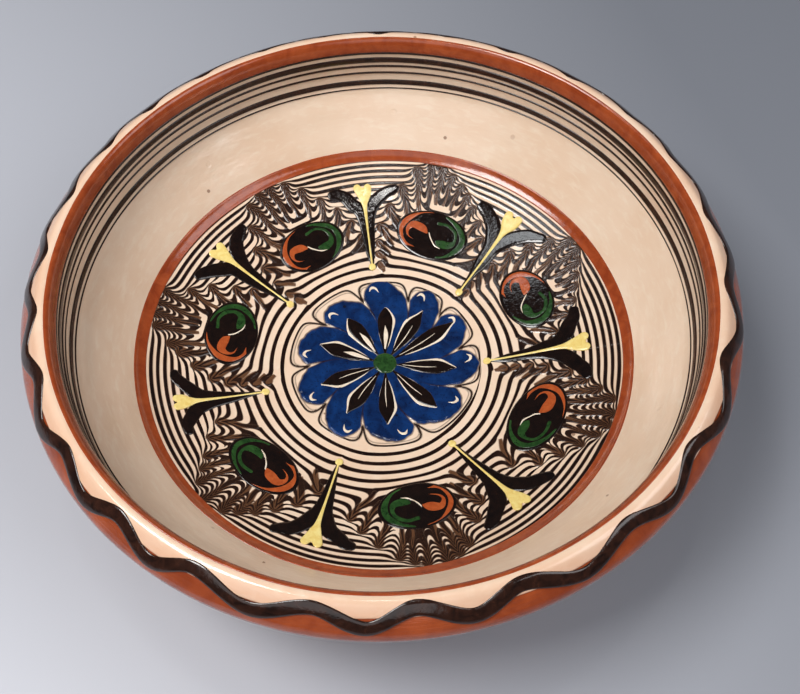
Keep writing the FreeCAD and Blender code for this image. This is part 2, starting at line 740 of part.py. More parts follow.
def check_and_write():
    """Stop on any failed object or bad shape, then write one file for each sub-part."""
    doc.recompute()
    for item in doc.Objects:
        if "Invalid" in item.State or "Error" in item.State:
            raise RuntimeError(f"{item.Name}: {item.State}")
    for item in NODES:
        if item.Shape.isNull() or not item.Shape.isValid() or not item.Shape.Solids:
            raise RuntimeError(f"{item.Label}: bad shape")
    os.makedirs("parts", exist_ok=True)
    for item in NODES:
        item.Shape.exportStep(f"parts/{item.Label}.step")
        print(f"{item.Label}: {len(item.Shape.Solids)} solids, {item.Shape.Volume:.0f} mm3")


fill_sheet()
build()
check_and_write()
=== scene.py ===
"""The looks of the slip-painted dish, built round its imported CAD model.

The CAD gives every layer as a plain solid. Here each layer is built again as the potter lays
it: turned bands with a hand's wobble, a dark spiral combed outwards into chevrons, and
trailed pools with rounded edges. Sizes are in millimetres and angles in degrees unless a
comment says otherwise, azimuths run counter-clockwise from +X, and to_mesh() turns
millimetres into metres. A slip is a material and its slot, as make_slips() gives them.
"""
import math

import bpy
import numpy as np
from mathutils import Matrix, Vector

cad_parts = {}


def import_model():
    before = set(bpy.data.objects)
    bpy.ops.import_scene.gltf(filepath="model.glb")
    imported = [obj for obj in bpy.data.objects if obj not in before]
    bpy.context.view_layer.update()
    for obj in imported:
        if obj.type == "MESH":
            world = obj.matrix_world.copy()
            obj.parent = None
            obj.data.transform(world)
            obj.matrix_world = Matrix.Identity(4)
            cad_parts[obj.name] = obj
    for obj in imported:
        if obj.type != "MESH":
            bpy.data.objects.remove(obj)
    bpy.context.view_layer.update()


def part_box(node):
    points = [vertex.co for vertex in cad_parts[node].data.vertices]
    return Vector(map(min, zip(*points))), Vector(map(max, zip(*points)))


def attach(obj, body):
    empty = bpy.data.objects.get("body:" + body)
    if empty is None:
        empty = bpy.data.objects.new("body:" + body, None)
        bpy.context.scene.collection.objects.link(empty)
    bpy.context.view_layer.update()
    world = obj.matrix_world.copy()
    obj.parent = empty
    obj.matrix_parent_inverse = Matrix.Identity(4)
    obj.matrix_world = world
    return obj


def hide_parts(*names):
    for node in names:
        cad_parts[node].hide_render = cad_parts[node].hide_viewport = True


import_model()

MM = 0.001
# just inside the CAD, whose facets cut its circle
RIM_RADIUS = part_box("clay_body")[1].x / MM - 0.05

# ---------------------------------------------------------------- the dish's own sizes

DISH_RADIUS = 228.5
DISH_CENTRE_HEIGHT = 238.9
WELL_START = 91.4
WELL_CURVE = 9.0
WALL_ANGLE = 51.0
SHOULDER_CURVE = 17.0
THROAT_RADIUS = 112.6
THROAT_HEIGHT = 71.0
FLARE_CURVE = 12.0
CREST_HEIGHT = 77.4
CREST_CURVE = 2.6
SLOPE_CURVE = 32.0
LIP_CURVE = 5.0
LIP_HEIGHT = 67.7
COAT = 0.4

# outside of the body, from under the lip to the middle of the recess in the foot
UNDERCUT = [(121.6, 63.2), (120.2, 61.4), (119.7, 59.6), (119.2, 56.5), (117.6, 53.3)]
OUTSIDE = [(113.0, 47.5), (104.0, 36.4), (97.5, 28.6), (92.0, 23.2), (85.0, 19.4), (72.0, 13.9),
           (62.0, 9.8), (58.4, 8.0), (57.9, 6.2), (57.2, 1.2), (56.2, 0.15), (54.0, 0.0),
           (51.2, 0.15), (50.0, 1.2), (49.2, 6.0), (47.0, 6.9), (30.0, 5.4), (0.05, 4.2)]

# azimuth and distance of the centre, half length, half width, tilt
EYES = [
    (23.6, 63.0, 14.2, 10.0, 0.0),
    (71.2, 61.4, 15.8, 10.5, -4.0),
    (120.4, 61.0, 14.5, 10.2, 3.0),
    (170.9, 62.1, 14.5, 10.1, 0.0),
    (227.5, 65.8, 15.4, 9.6, 2.0),
    (280.4, 65.8, 14.4, 9.9, 0.0),
    (333.3, 64.5, 16.2, 10.0, -3.0),
]

# azimuth and distance of the foot, length of stem and bulb, lean to the left
TULIPS = [
    (-1.6, 40.6, 38.0, 5.5),
    (45.9, 44.0, 38.2, 6.0),
    (96.9, 45.0, 35.0, 0.0),
    (146.5, 46.8, 36.4, 0.0),
    (198.3, 48.8, 32.8, -1.0),
    (249.5, 48.4, 35.8, 7.5),
    (304.0, 45.6, 36.8, 5.5),
]

# ends of the comb strokes of each eye, clockwise and outward from the dish's centre
STROKE_ENDS = [
    [(-15.5, 42.5), (-17.5, 46.5), (-19.5, 51.5), (-20.5, 57.5), (-21.5, 66.0), (-20.0, 74.0),
     (-17.0, 81.5), (-13.0, 87.5), (-8.0, 88.5), (-3.0, 86.0), (2.0, 83.0), (6.0, 80.5),
     (10.5, 77.0), (15.5, 72.0), (19.0, 65.0), (21.0, 57.0)],
    [(-16.5, 42.5), (-18.5, 47.0), (-20.0, 52.0), (-21.5, 58.5), (-20.5, 67.5), (-18.0, 77.0),
     (-14.0, 86.0), (-9.0, 90.0), (-4.0, 89.8), (1.0, 87.0), (5.5, 84.0), (9.5, 80.5),
     (13.5, 76.0), (17.5, 70.5), (20.5, 64.0), (22.5, 56.0)],
    [(-16.5, 42.0), (-18.5, 46.5), (-20.5, 52.5), (-21.5, 60.0), (-21.0, 68.0), (-18.5, 77.0),
     (-14.5, 85.5), (-9.0, 88.5), (-4.0, 90.2), (2.0, 88.5), (8.0, 83.5), (13.0, 76.5),
     (17.0, 69.5), (19.5, 62.5), (20.5, 55.0)],
    [(-17.5, 43.5), (-19.5, 48.0), (-21.0, 52.5), (-22.0, 57.0), (-21.5, 63.5), (-18.5, 70.5),
     (-15.0, 77.0), (-12.0, 81.5), (-6.5, 88.0), (-1.5, 90.0), (3.5, 90.8), (9.0, 89.0),
     (12.5, 80.5), (17.0, 73.5), (19.5, 64.5), (21.0, 57.5)],
    [(-21.0, 59.0), (-20.0, 67.5), (-16.5, 74.5), (-12.5, 80.5), (-9.0, 84.5), (-5.0, 88.0),
     (2.5, 90.3), (9.0, 86.5), (12.5, 82.0), (16.0, 77.5), (21.0, 71.5), (24.5, 64.5)],
    [(-21.0, 59.5), (-21.5, 68.5), (-18.5, 75.5), (-13.5, 84.5), (-10.0, 87.5), (-5.5, 89.6),
     (1.0, 89.5), (5.5, 88.0), (9.5, 85.5), (16.0, 79.0), (21.0, 72.0), (24.0, 66.0)],
    [(-16.5, 44.0), (-18.5, 48.5), (-20.5, 53.5), (-21.5, 58.5), (-22.0, 67.5), (-20.0, 74.5),
     (-17.5, 80.5), (-14.5, 86.5), (-8.5, 88.8), (-3.5, 89.0), (1.5, 87.0), (7.0, 83.0),
     (13.0, 78.0), (18.5, 72.0), (22.5, 63.0)],
]

# azimuth and end radius of each petal, and how squarely its shoulders are set
PETALS = [(90.0, 26.0, 1.0), (57.0, 28.5, 0.2), (33.0, 33.5, 0.3), (-6.5, 28.5, 0.5),
          (-46.0, 29.0, 0.7), (-88.0, 28.0, 0.4), (-122.5, 27.4, 0.3), (-158.0, 27.2, 0.4),
          (163.0, 27.5, 0.6), (126.5, 25.8, 0.8)]
PETAL_FOOT = 4.0
PETAL_HALF_WIDTH = 2.85
FRINGE_WIDTH = 0.48
FRINGE_LEAN = 0.8
BIG_STREAKS = (1, 9, 10)        # petals with a broad white streak
CENTRE_RADIUS = 4.7
# azimuths of the notches between the flower's lobes, and how deep the lobe after each reaches
NOTCHES = [(10.0, 37.4), (43.0, 38.2), (71.0, 38.6), (107.0, 34.9), (144.0, 35.8), (183.0, 36.6),
           (219.0, 37.8), (253.0, 36.4), (292.0, 36.6), (337.0, 37.4)]
NOTCH_RADIUS = 29.3
# radius, half width and darkness of the two dark lines that follow the flower's lobes
LOBE_LINES = [(37.9, 0.45, 1.0), (36.7, 0.22, 0.6)]

# centre line of each brush stroke in an eye: across, outward, half width; an eye 15.4 by 9.6
EYE_SIZE = (15.4, 9.6)
EYE_MIDDLE = 65.8
ORANGE_STROKES = [
    [(-2, 75.0, .4), (-8, 73.6, 1.4), (-12.6, 69.5, 1.9), (-13.6, 65, 1.8), (-12.3, 61, 1.6),
     (-9, 59.4, .9), (-5, 59.2, .3)],
    [(-2.3, 66.2, .8), (-5, 67.4, 1.9), (-8.8, 67.6, 1.6), (-10.4, 65, .9), (-8.8, 62.8, .5), (-4, 61.8, .2)],
]
GREEN_STROKES = [
    [(3, 74.2, .5), (8, 72.8, 1.2), (12.6, 69, 1.6), (13.4, 65, 1.8), (11.6, 60.6, 1.9), (8, 58.4, 1.2),
     (5.2, 57.9, .5)],
    [(.8, 71.2, .9), (5, 71.4, .8), (8.8, 69.5, .9), (9.8, 66.4, .9), (8.6, 64, 1.5), (5, 63.4, 1.8),
     (3, 64, .8)],
]
THREAD_STROKES = [[(-1.5, 66.4, .25), (-.5, 65, .3), (1.2, 63.5, .25), (3, 62.2, .3), (5.4, 61.8, .15)]]

# tulip, in lengths of its stem and bulb: across, along, half width
LEAF_STROKE = [(.006, .03, .012), (.016, .22, .032), (.026, .42, .050), (.042, .60, .066), (.075, .72, .080),
               (.14, .82, .085), (.23, .89, .078), (.32, .935, .068), (.39, .955, .052)]
STEM_STROKE = [(0, 0, .011), (0, .4, .013), (0, .66, .020), (0, .80, .034), (0, .90, .066), (0, .955, .050)]
BULB_LOBE = [(.0, .86, .05), (.035, .94, .055), (.062, 1.0, .046)]
TULIP_FOOT = 1.45

WALL_LINES = [(53.1, 0.6), (54.9, 2.3), (60.5, 1.1), (63.9, 1.2), (66.3, 2.7)]
EDGE_LINE = (70.7, 71.8)
RIM_BAND_RADIUS = 114.9
WELL_BAND = (91.4, 95.3)
COAT_FULL = 118.5       # the coat is even as far as here, and then runs out to its edge
COAT_EDGE = 120.4
WAVE_PEAKS = [11, 25, 37, 51, 65, 77.5, 91, 102, 114, 127, 139.5, 151, 163.5, 176.5, 188.5, 201, 215,
              229, 243, 260.5, 275, 290, 308, 324, 341, 356]
WAVE_INNER = 118.4
WAVE_OUTER = 122.3
WAVE_HALF_WIDTH = 2.3
WAVE_RISE = 0.36
WAVE_STEPS = 1800

RING_FIRST = 42.0
RING_PITCH = 4.3
PITCH_FALL = 0.0413     # how much closer the turns lie for each millimetre outwards
SPIRAL_SEAM = 10.0
# part of a turn's pitch that the trailed spiral has drifted inwards, by degrees from its seam
SPIRAL_DRIFT = [(0, 0.0), (50, 0.17), (100, 0.37), (150, 0.38), (200, 0.14), (250, 0.03), (280, 0.23),
                (310, 0.65), (335, 0.95), (360, 1.0)]
FIELD_START = 38.4
DRAG_REACH = 1.8        # how far from a comb's tooth the slip still follows it
DRAG_MOST = 8.5
DRAG_SHARE = 0.95       # of a tooth's way that it carries the slip along
STROKE_ROOT = 0.6       # half width of a stroke's core at its root
NEAR_REACH = 3.2        # how far from a stroke the slip lies thicker and darker
EYE_PUSH = 0.16
EYE_PUSH_REACH = 0.25
TULIP_DIP = 1.5
LOW_STROKE = 54.0       # strokes that end nearer the centre than this are short and broad
ROOT_ARCH = (14.5, 47.0, 28.0)
TIP_ARCH = (21.0, 50.0, 38.5)

# pools of slip: height of the edge over the coat, further rise, width of the rounded edge
FRINGE_PILE = (0.30, 0.22, 0.5)
PETAL_PILE = (0.42, 0.28, 0.9)
STREAK_PILE = (0.62, 0.16, 0.3)
CURL_PILE = (0.34, 0.18, 0.35)
CENTRE_PILE = (0.55, 0.45, 1.6)
EYE_PILE = (0.14, 0.42, 2.0)
SWIRL_PILE = (0.44, 0.14, 0.8)
THREAD_PILE = (0.50, 0.14, 0.8)
LEAF_PILE = (0.18, 0.40, 1.5)
STEM_PILE = (0.44, 0.36, 1.2)
FIELD_LIFT = COAT + 0.06        # lowest height of the combed floor and the flower over the clay
SLAB_FOOT = -0.35               # how far their hidden undersides reach into the clay
PINHOLE = 0.05                  # radius of the hole left at the centre of a turned section

# the view, as fitted to the photograph's rim, bands and rings
CAMERA_ELEVATION = 58.77
CAMERA_ROLL = -0.377
CAMERA_DISTANCE = 371.2
CAMERA_TARGET = (6.03, -3.62, 30.0)
CAMERA_LENS = 43.5
CAMERA_SENSOR = 36.0

BODY_STEPS = 480
ROUND_STEPS = 720
FIELD_ROWS = 240
FIELD_COLUMNS = 378
FLOWER_ROWS = 148
FLOWER_STEPS = 620
CELL = 0.2
STROKE_CELL = 0.16
PETAL_CELL = 0.14
THREAD_CELL = 0.12

dice = np.random.default_rng(7)


# ---------------------------------------------------------------- helpers on numbers

def smooth(low, high, value):
    x = np.clip((value - low) / (high - low), 0, 1)
    return x * x * (3 - 2 * x)


def waves(angle, seed, counts=(1, 2, 3, 5, 8), fall=0.8):
    """A smooth closed wobble of angle in radians, between about -1 and 1."""
    rng = np.random.default_rng(seed)
    total = 0.0
    weight = 0.0
    for count in counts:
        share = count ** -fall
        total = total + share * np.sin(count * angle + rng.uniform(0, 2 * np.pi))
        weight += share
    return total / weight


def round_angles(steps):
    """Angles in radians all round, as a column."""
    return np.linspace(0, 2 * np.pi, steps, endpoint=False)[:, None]


def flow(points, steps=10):
    """A smooth line through given points, as a dense list with the same columns."""
    knots = np.array(points, float)
    lead = np.vstack([2 * knots[0] - knots[1], knots, 2 * knots[-1] - knots[-2]])
    share = np.linspace(0, 1, steps, endpoint=False)[:, None]
    dense = []
    for k in range(len(knots) - 1):
        a, b, c, d = lead[k:k + 4]
        dense.append(0.5 * (2 * b + (c - a) * share + (2 * a - 5 * b + 4 * c - d) * share ** 2
                            + (3 * b - a - 3 * c + d) * share ** 3))
    dense.append(knots[-1:])
    return np.vstack(dense)


def brush(across, along, strokes):
    """Signed distance to a set of tapered brush strokes, below zero inside them."""
    nearest = np.full(across.shape, 1e3)
    for points in strokes:
        line = flow(points)
        for first, last in zip(line[:-1], line[1:]):
            run = last[:2] - first[:2]
            length = max(run @ run, 1e-9)
            share = np.clip(((across - first[0]) * run[0] + (along - first[1]) * run[1]) / length, 0, 1)
            gap = np.hypot(across - first[0] - share * run[0], along - first[1] - share * run[1])
            nearest = np.minimum(nearest, gap - (first[2] + share * (last[2] - first[2])))
    return nearest


def brushed(strokes):
    """The outline of a set of brush strokes, for pool()."""
    return lambda across, along: brush(across, along, strokes)


def local(x, y, azimuth):
    """Clockwise and outward distance in the frame of an azimuth."""
    turn = math.radians(azimuth)
    return x * math.sin(turn) - y * math.cos(turn), x * math.cos(turn) + y * math.sin(turn)


def world(across, outward, azimuth):
    """The place on the dish of a point in the frame of an azimuth."""
    turn = math.radians(azimuth)
    return (outward * math.cos(turn) + across * math.sin(turn),
            outward * math.sin(turn) - across * math.cos(turn))


def leant(across, along, lean, distance):
    """A motif's point after leaning by an angle in radians, at a distance from the centre."""
    return (across * math.cos(lean) - along * math.sin(lean),
            distance + across * math.sin(lean) + along * math.cos(lean))


def in_oval(across, outward, oval):
    """A point's place in an eye's own oval, whose edge is 1 from its middle."""
    _, distance, length, width, tilt = oval
    lean = math.radians(tilt)
    up = outward - distance
    return ((across * math.cos(lean) + up * math.sin(lean)) / length,
            (up * math.cos(lean) - across * math.sin(lean)) / width)


# ---------------------------------------------------------------- the surface the slip lies on

def walk():
    """The clay's inside from the centre to the lip: distance along it, radius, height, normal."""
    rows = []
    heading = math.asin(WELL_START / DISH_RADIUS)
    wall = math.radians(WALL_ANGLE)

    def arc(across, up, radius, start, end, count):
        for turn in np.linspace(start, end, count):
            rows.append((across + radius * math.cos(turn), up + radius * math.sin(turn),
                         math.cos(turn), math.sin(turn)))

    arc(0, DISH_CENTRE_HEIGHT, DISH_RADIUS, -math.pi / 2, heading - math.pi / 2, 80)
    inward = np.array([-math.sin(heading), math.cos(heading)])
    centre = np.array([WELL_START, rows[-1][1]]) + WELL_CURVE * inward
    arc(*centre, WELL_CURVE, heading - math.pi / 2, wall - math.pi / 2, 24)
    foot = rows[-1]
    run = THROAT_RADIUS - SHOULDER_CURVE * (1 - math.sin(wall)) - foot[0]
    centre = np.array([foot[0] + run, foot[1] + run * math.tan(wall)])
    centre = centre + SHOULDER_CURVE * np.array([-math.sin(wall), math.cos(wall)])
    arc(*centre, SHOULDER_CURVE, wall - math.pi / 2, 0, 40)
    rows = [(r, z, -nr, -nz) for r, z, nr, nz in rows]
    up = CREST_HEIGHT - CREST_CURVE
    flare_turn = math.asin((up - THROAT_HEIGHT) / (FLARE_CURVE - CREST_CURVE))
    flare_across = THROAT_RADIUS + FLARE_CURVE
    arc(flare_across, THROAT_HEIGHT, FLARE_CURVE, math.pi, math.pi - flare_turn, 20)
    crest = np.array([flare_across - (FLARE_CURVE - CREST_CURVE) * math.cos(flare_turn), up])
    lip = np.array([RIM_RADIUS - LIP_CURVE, LIP_HEIGHT])
    near = SLOPE_CURVE - CREST_CURVE
    far = SLOPE_CURVE - LIP_CURVE
    gap = lip - crest
    span = math.hypot(*gap)
    along = (near ** 2 - far ** 2 + span ** 2) / (2 * span)
    aside = math.sqrt(near ** 2 - along ** 2)
    slope = crest + (gap * along + np.array([gap[1], -gap[0]]) * aside) / span
    crest_end = math.atan2(*(crest - slope)[::-1])
    slope_end = math.atan2(*(lip - slope)[::-1])
    arc(*crest, CREST_CURVE, math.pi - flare_turn, crest_end, 16)
    arc(*slope, SLOPE_CURVE, crest_end, slope_end, 20)
    arc(*lip, LIP_CURVE, slope_end, math.radians(-40), 24)
    table = np.array(rows)
    steps = np.hypot(np.diff(table[:, 0]), np.diff(table[:, 1]))
    keep = np.concatenate([[True], steps > 1e-6])
    table = table[keep]
    length = np.concatenate([[0], np.cumsum(np.hypot(np.diff(table[:, 0]), np.diff(table[:, 1])))])
    return length, table


ALONG, SECTION = walk()
CREST_INDEX = int(np.argmax(SECTION[:, 1]))
RISING = np.append(True, np.diff(SECTION[:, 0]) > 1e-6)


def along_at_height(height):
    """Distance along the section where the wall has this height."""
    return float(np.interp(height, SECTION[:CREST_INDEX, 1], ALONG[:CREST_INDEX]))


def along_at_radius(radius):
    """Distance along the section where the floor, or the rim past the throat, has this radius."""
    return np.interp(radius, SECTION[RISING, 0], ALONG[RISING])


def on_section(along, angle, lift):
    """Points at a distance along the section, an angle in radians and a lift off the clay."""
    radius = np.interp(along, ALONG, SECTION[:, 0]) + lift * np.interp(along, ALONG, SECTION[:, 2])
    height = np.interp(along, ALONG, SECTION[:, 1]) + lift * np.interp(along, ALONG, SECTION[:, 3])
    return np.stack([radius * np.cos(angle), radius * np.sin(angle), height + 0 * angle], -1)


def floor_height(radius, lift):
    """Height of the dished floor at a radius, raised by lift."""
    return DISH_CENTRE_HEIGHT - np.sqrt((DISH_RADIUS - lift) ** 2 - radius ** 2)


# ---------------------------------------------------------------- meshes

def linked(name, data):
    """A new object in the scene."""
    item = bpy.data.objects.new(name, data)
    bpy.context.scene.collection.objects.link(item)
    return item


def to_mesh(name, points, faces, slip, nodes, masks=None, smooth_faces=None):
    """A piece from points in millimetres; nodes are the CAD nodes that it stands for.

    The first smooth_faces faces are shaded smooth and the rest, hidden in the clay, flat."""
    mesh = bpy.data.meshes.new(name)
    mesh.from_pydata((np.asarray(points, float) * MM).tolist(), [], faces)
    count = len(faces) if smooth_faces is None else smooth_faces
    mesh.polygons.foreach_set("use_smooth", np.arange(len(faces)) < count)
    for key, values in (masks or {}).items():
        layer = mesh.attributes.new(key, "FLOAT", "POINT")
        layer.data.foreach_set("value", values.astype(np.float32))
    material, slot = slip
    mesh.materials.append(material)
    mesh.validate()
    piece = linked(name, mesh)
    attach(piece, "root")
    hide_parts(*nodes)
    return piece


def grid_faces(rows, columns):
    """Quads of a grid of points."""
    row, column = np.meshgrid(np.arange(rows - 1), np.arange(columns - 1), indexing="ij")
    a = row * columns + column
    return np.stack([a, a + 1, a + 1 + columns, a + columns], -1).reshape(-1, 4).tolist()


def turned_loop(name, loops, slip, nodes, masks=None):
    """A ring whose section is a closed loop; loops is an array of angle, section point, xyz."""
    steps, count, _ = loops.shape
    row, column = np.meshgrid(np.arange(steps), np.arange(count), indexing="ij")
    a = row * count + column
    b = row * count + (column + 1) % count
    after = (row + 1) % steps
    c = after * count + (column + 1) % count
    d = after * count + column
    faces = np.stack([a, d, c, b], -1).reshape(-1, 4).tolist()
    return to_mesh(name, loops.reshape(-1, 3), faces, slip, nodes, masks)


def turned_band(name, inner, outer, crown, seed, slip, node, wobble, edge):
    """A band laid on the turning dish between two distances along the section."""
    angle = round_angles(ROUND_STEPS)
    low = inner + wobble * waves(angle, seed, (1, 2, 5, 9, 17, 31), 0.5)
    high = outer + wobble * waves(angle, seed + 1, (1, 3, 4, 11, 19, 37), 0.5)
    width = outer - inner
    count = int(np.clip(width / 0.45, 8, 26))
    share = (1 - np.cos(np.linspace(0, np.pi, count))) / 2
    steepness = (1 - np.minimum(share, 1 - share) * width / edge).clip(0, 1)
    rise = np.sqrt(np.clip(1 - steepness ** 2, 0, 1))
    unevenness = 1 + 0.25 * waves(angle, seed + 2, (1, 4, 9, 23), 0.4)
    top = on_section(low + (high - low) * share, angle, COAT + crown * rise * unevenness)
    under = on_section(low + (high - low) * share[::-1], angle, COAT - 0.15 + 0 * angle)
    turned_loop(name, np.concatenate([top, under], 1), slip, [node])


def pool(name, outline, box, place, pile, slip, nodes, cell=CELL):
    """A pool of slip on the floor: a rounded slab inside an outline of signed distance.

    box is low and high across and outward in the frame of place, which is an azimuth."""
    base, crown, edge = pile
    across = np.arange(box[0], box[1] + cell, cell)
    outward = np.arange(box[2], box[3] + cell, cell)
    u, v = np.meshgrid(across, outward)
    away = outline(u, v)
    slope_v, slope_u = np.gradient(away, cell)
    inside = away < 0
    used = inside[:-1, :-1] | inside[1:, :-1] | inside[:-1, 1:] | inside[1:, 1:]
    snap = np.where(away > 0, np.minimum(away, 1.5 * cell), 0)
    size = np.maximum(np.hypot(slope_u, slope_v), 0.2)
    u = u - snap * slope_u / size
    v = v - snap * slope_v / size
    depth = np.clip(-away / edge, 0, 1)
    rise = crown * np.sqrt(1 - (1 - depth) ** 2)
    x, y = world(u, v, place)
    top = np.stack([x, y, floor_height(np.hypot(x, y), COAT + base) + rise], -1).reshape(-1, 3)
    under = np.stack([x, y, floor_height(np.hypot(x, y), COAT - 0.2)], -1).reshape(-1, 3)
    row, column = np.nonzero(used)
    wide = len(across)
    a = row * wide + column
    quads = np.stack([a + wide, a + wide + 1, a + 1, a], -1)
    edges = np.stack([quads, np.roll(quads, -1, 1)], -1).reshape(-1, 2)
    code = np.sort(edges, 1) @ np.array([len(top), 1])
    _, first, uses = np.unique(code, return_index=True, return_counts=True)
    border = edges[first[uses == 1]]
    old = np.unique(quads)
    new = np.full(len(top), -1)
    new[old] = np.arange(len(old))
    quads = new[quads]
    border = new[border]
    count = len(old)
    skirt = np.stack([border[:, 1], border[:, 0], border[:, 0] + count, border[:, 1] + count], -1)
    faces = np.vstack([quads, quads[:, ::-1] + count, skirt])
    to_mesh(name, np.vstack([top[old], under[old]]), faces.tolist(), slip, nodes,
            smooth_faces=len(quads))


# ---------------------------------------------------------------- materials

def tint(red, green, blue):
    """Linear colour from display values of 0 to 255."""
    return tuple(((c / 255 + 0.055) / 1.055) ** 2.4 if c > 10 else c / 255 / 12.92
                 for c in (red, green, blue)) + (1.0,)


class Glaze:
    """One material under clear glaze: colour, roughness and relief come from noise in the slip."""

    def __init__(self, name):
        self.material = bpy.data.materials.new(name)
        self.material.use_nodes = True
        self.tree = self.material.node_tree
        self.shader = self.tree.nodes["Principled BSDF"]
        self.place = self.add("ShaderNodeTexCoord").outputs["Object"]

    def add(self, kind, **values):
        node = self.tree.nodes.new(kind)
        for name, value in values.items():
            self.feed(node.inputs[name.replace("_", " ")], value)
        return node

    def feed(self, socket, value):
        if isinstance(value, bpy.types.NodeSocket):
            self.tree.links.new(value, socket)
        else:
            socket.default_value = value

    def noise(self, size, detail=2.0, rough=0.5, warp=0.0, stretch=None):
        """Noise whose lumps are about size millimetres, 0 to 1 and mostly near a half."""
        place = self.place
        if stretch:
            place = self.add("ShaderNodeMapping", Vector=place, Scale=stretch).outputs[0]
        return self.add("ShaderNodeTexNoise", Vector=place, Scale=1000 / size, Detail=detail,
                        Roughness=rough, Distortion=warp).outputs["Fac"]

    def specks(self, size, share):
        """Sharp-edged dots of about size millimetres over a share of the cells."""
        cells = self.add("ShaderNodeTexVoronoi", Vector=self.place, Scale=1000 / size, Randomness=1.0)
        chosen = self.curve(cells.outputs["Color"], (1 - share - 0.01, 1 - share))
        near = self.curve(cells.outputs["Distance"], (0.34, 0.22))
        return self.times(chosen, near)

    def speckled(self, base, size, share, amount, colour):
        """The base colour with dots of another."""
        return self.mix(self.curve(self.specks(size, share), (0, 1), (0, amount)), base, colour)

    def curve(self, value, span, result=(0.0, 1.0)):
        """Map a span of the value onto a result, clamped."""
        node = self.add("ShaderNodeMapRange")
        for number, entry in enumerate((value, span[0], span[1], result[0], result[1])):
            self.feed(node.inputs[number], entry)
        return node.outputs[0]

    def maths(self, operation, first, second):
        node = self.add("ShaderNodeMath")
        node.operation = operation
        self.feed(node.inputs[0], first)
        self.feed(node.inputs[1], second)
        return node.outputs[0]

    def plus(self, first, second):
        return self.maths("ADD", first, second)

    def times(self, first, second):
        return self.maths("MULTIPLY", first, second)

    def mix(self, amount, first, second):
        """The second colour over the first by an amount from 0 to 1."""
        node = self.add("ShaderNodeMix")
        node.data_type = "RGBA"
        self.feed(node.inputs[0], amount)
        self.feed(node.inputs[6], first)
        self.feed(node.inputs[7], second)
        return node.outputs[2]

    def mask(self, name):
        """A piece's mask, as to_mesh() stored it."""
        node = self.add("ShaderNodeAttribute")
        node.attribute_name = name
        return node.outputs["Fac"]

    def radius(self):
        """Distance from the dish's axis in metres."""
        flat = self.add("ShaderNodeMapping", Vector=self.place, Scale=(1, 1, 0)).outputs[0]
        length = self.add("ShaderNodeVectorMath", Vector=flat)
        length.operation = "LENGTH"
        return length.outputs["Value"]

    def height(self):
        """Height above the foot in metres."""
        return self.add("ShaderNodeSeparateXYZ", Vector=self.place).outputs["Z"]

    def finish(self, colour, gloss=(0.10, 0.20), relief=None, depth=0.05):
        """Set the shader; gloss is the span of the roughness and depth the relief in millimetres."""
        self.feed(self.shader.inputs["Base Color"], colour)
        rough = self.curve(self.noise(3.0, 3.0, 0.6), (0.3, 0.7), gloss)
        self.feed(self.shader.inputs["Roughness"], rough)
        self.shader.inputs["IOR"].default_value = 1.52
        self.shader.inputs["Coat Weight"].default_value = 0.15
        self.shader.inputs["Coat Roughness"].default_value = 0.04
        self.shader.inputs["Coat IOR"].default_value = 1.5
        bump = self.add("ShaderNodeBump", Strength=1.0, Distance=depth * MM,
                        Height=relief or self.noise(2.2, 2.0))
        self.feed(self.shader.inputs["Normal"], bump.outputs[0])
        return self.material


CREAM = tint(238, 214, 190)
CREAM_WARM = tint(232, 203, 176)
CREAM_PALE = tint(244, 229, 208)
BROWN_BLACK = tint(24, 11, 7)


def cream_colour(g):
    """White slip over red clay: warm where it is thin, with a few iron specks."""
    cloud = g.curve(g.noise(26.0, 3.0, 0.55), (0.35, 0.68))
    base = g.mix(cloud, CREAM_WARM, CREAM)
    drift = g.curve(g.noise(7.0, 4.0, 0.6, 0.6, (1, 1, 4)), (0.50, 0.78), (0.0, 0.55))
    base = g.mix(drift, base, CREAM_PALE)
    base = g.speckled(base, 2.6, 0.05, 0.75, tint(120, 78, 48))
    base = g.speckled(base, 3.6, 0.03, 0.45, tint(150, 96, 58))
    thin = g.curve(g.plus(g.radius(), g.times(g.noise(11.0, 3.0), 0.004)), (0.1155, 0.121))
    return g.mix(g.times(thin, 0.45), base, tint(222, 152, 110))


def cream_material():
    """White slip with small pits."""
    g = Glaze("cream_under_glaze")
    pits = g.specks(4.2, 0.08)
    relief = g.maths("SUBTRACT", g.noise(5.0, 3.0, 0.5, 0, (1, 1, 3)), g.times(pits, 0.8))
    return g.finish(cream_colour(g), (0.10, 0.24), relief, 0.10)


def slip_material(name, dark, light, size, specks=None, gloss=(0.08, 0.20), depth=0.07):
    """One coloured slip: two shades that drift into each other, and specks if given."""
    g = Glaze(name)
    colour = g.mix(g.curve(g.noise(size, 4.0, 0.62, 0.8), (0.32, 0.70)), dark, light)
    if specks:
        colour = g.speckled(colour, 0.9, 0.35, 0.7, specks)
    return g.finish(colour, gloss, g.noise(1.6, 3.0, 0.6), depth)


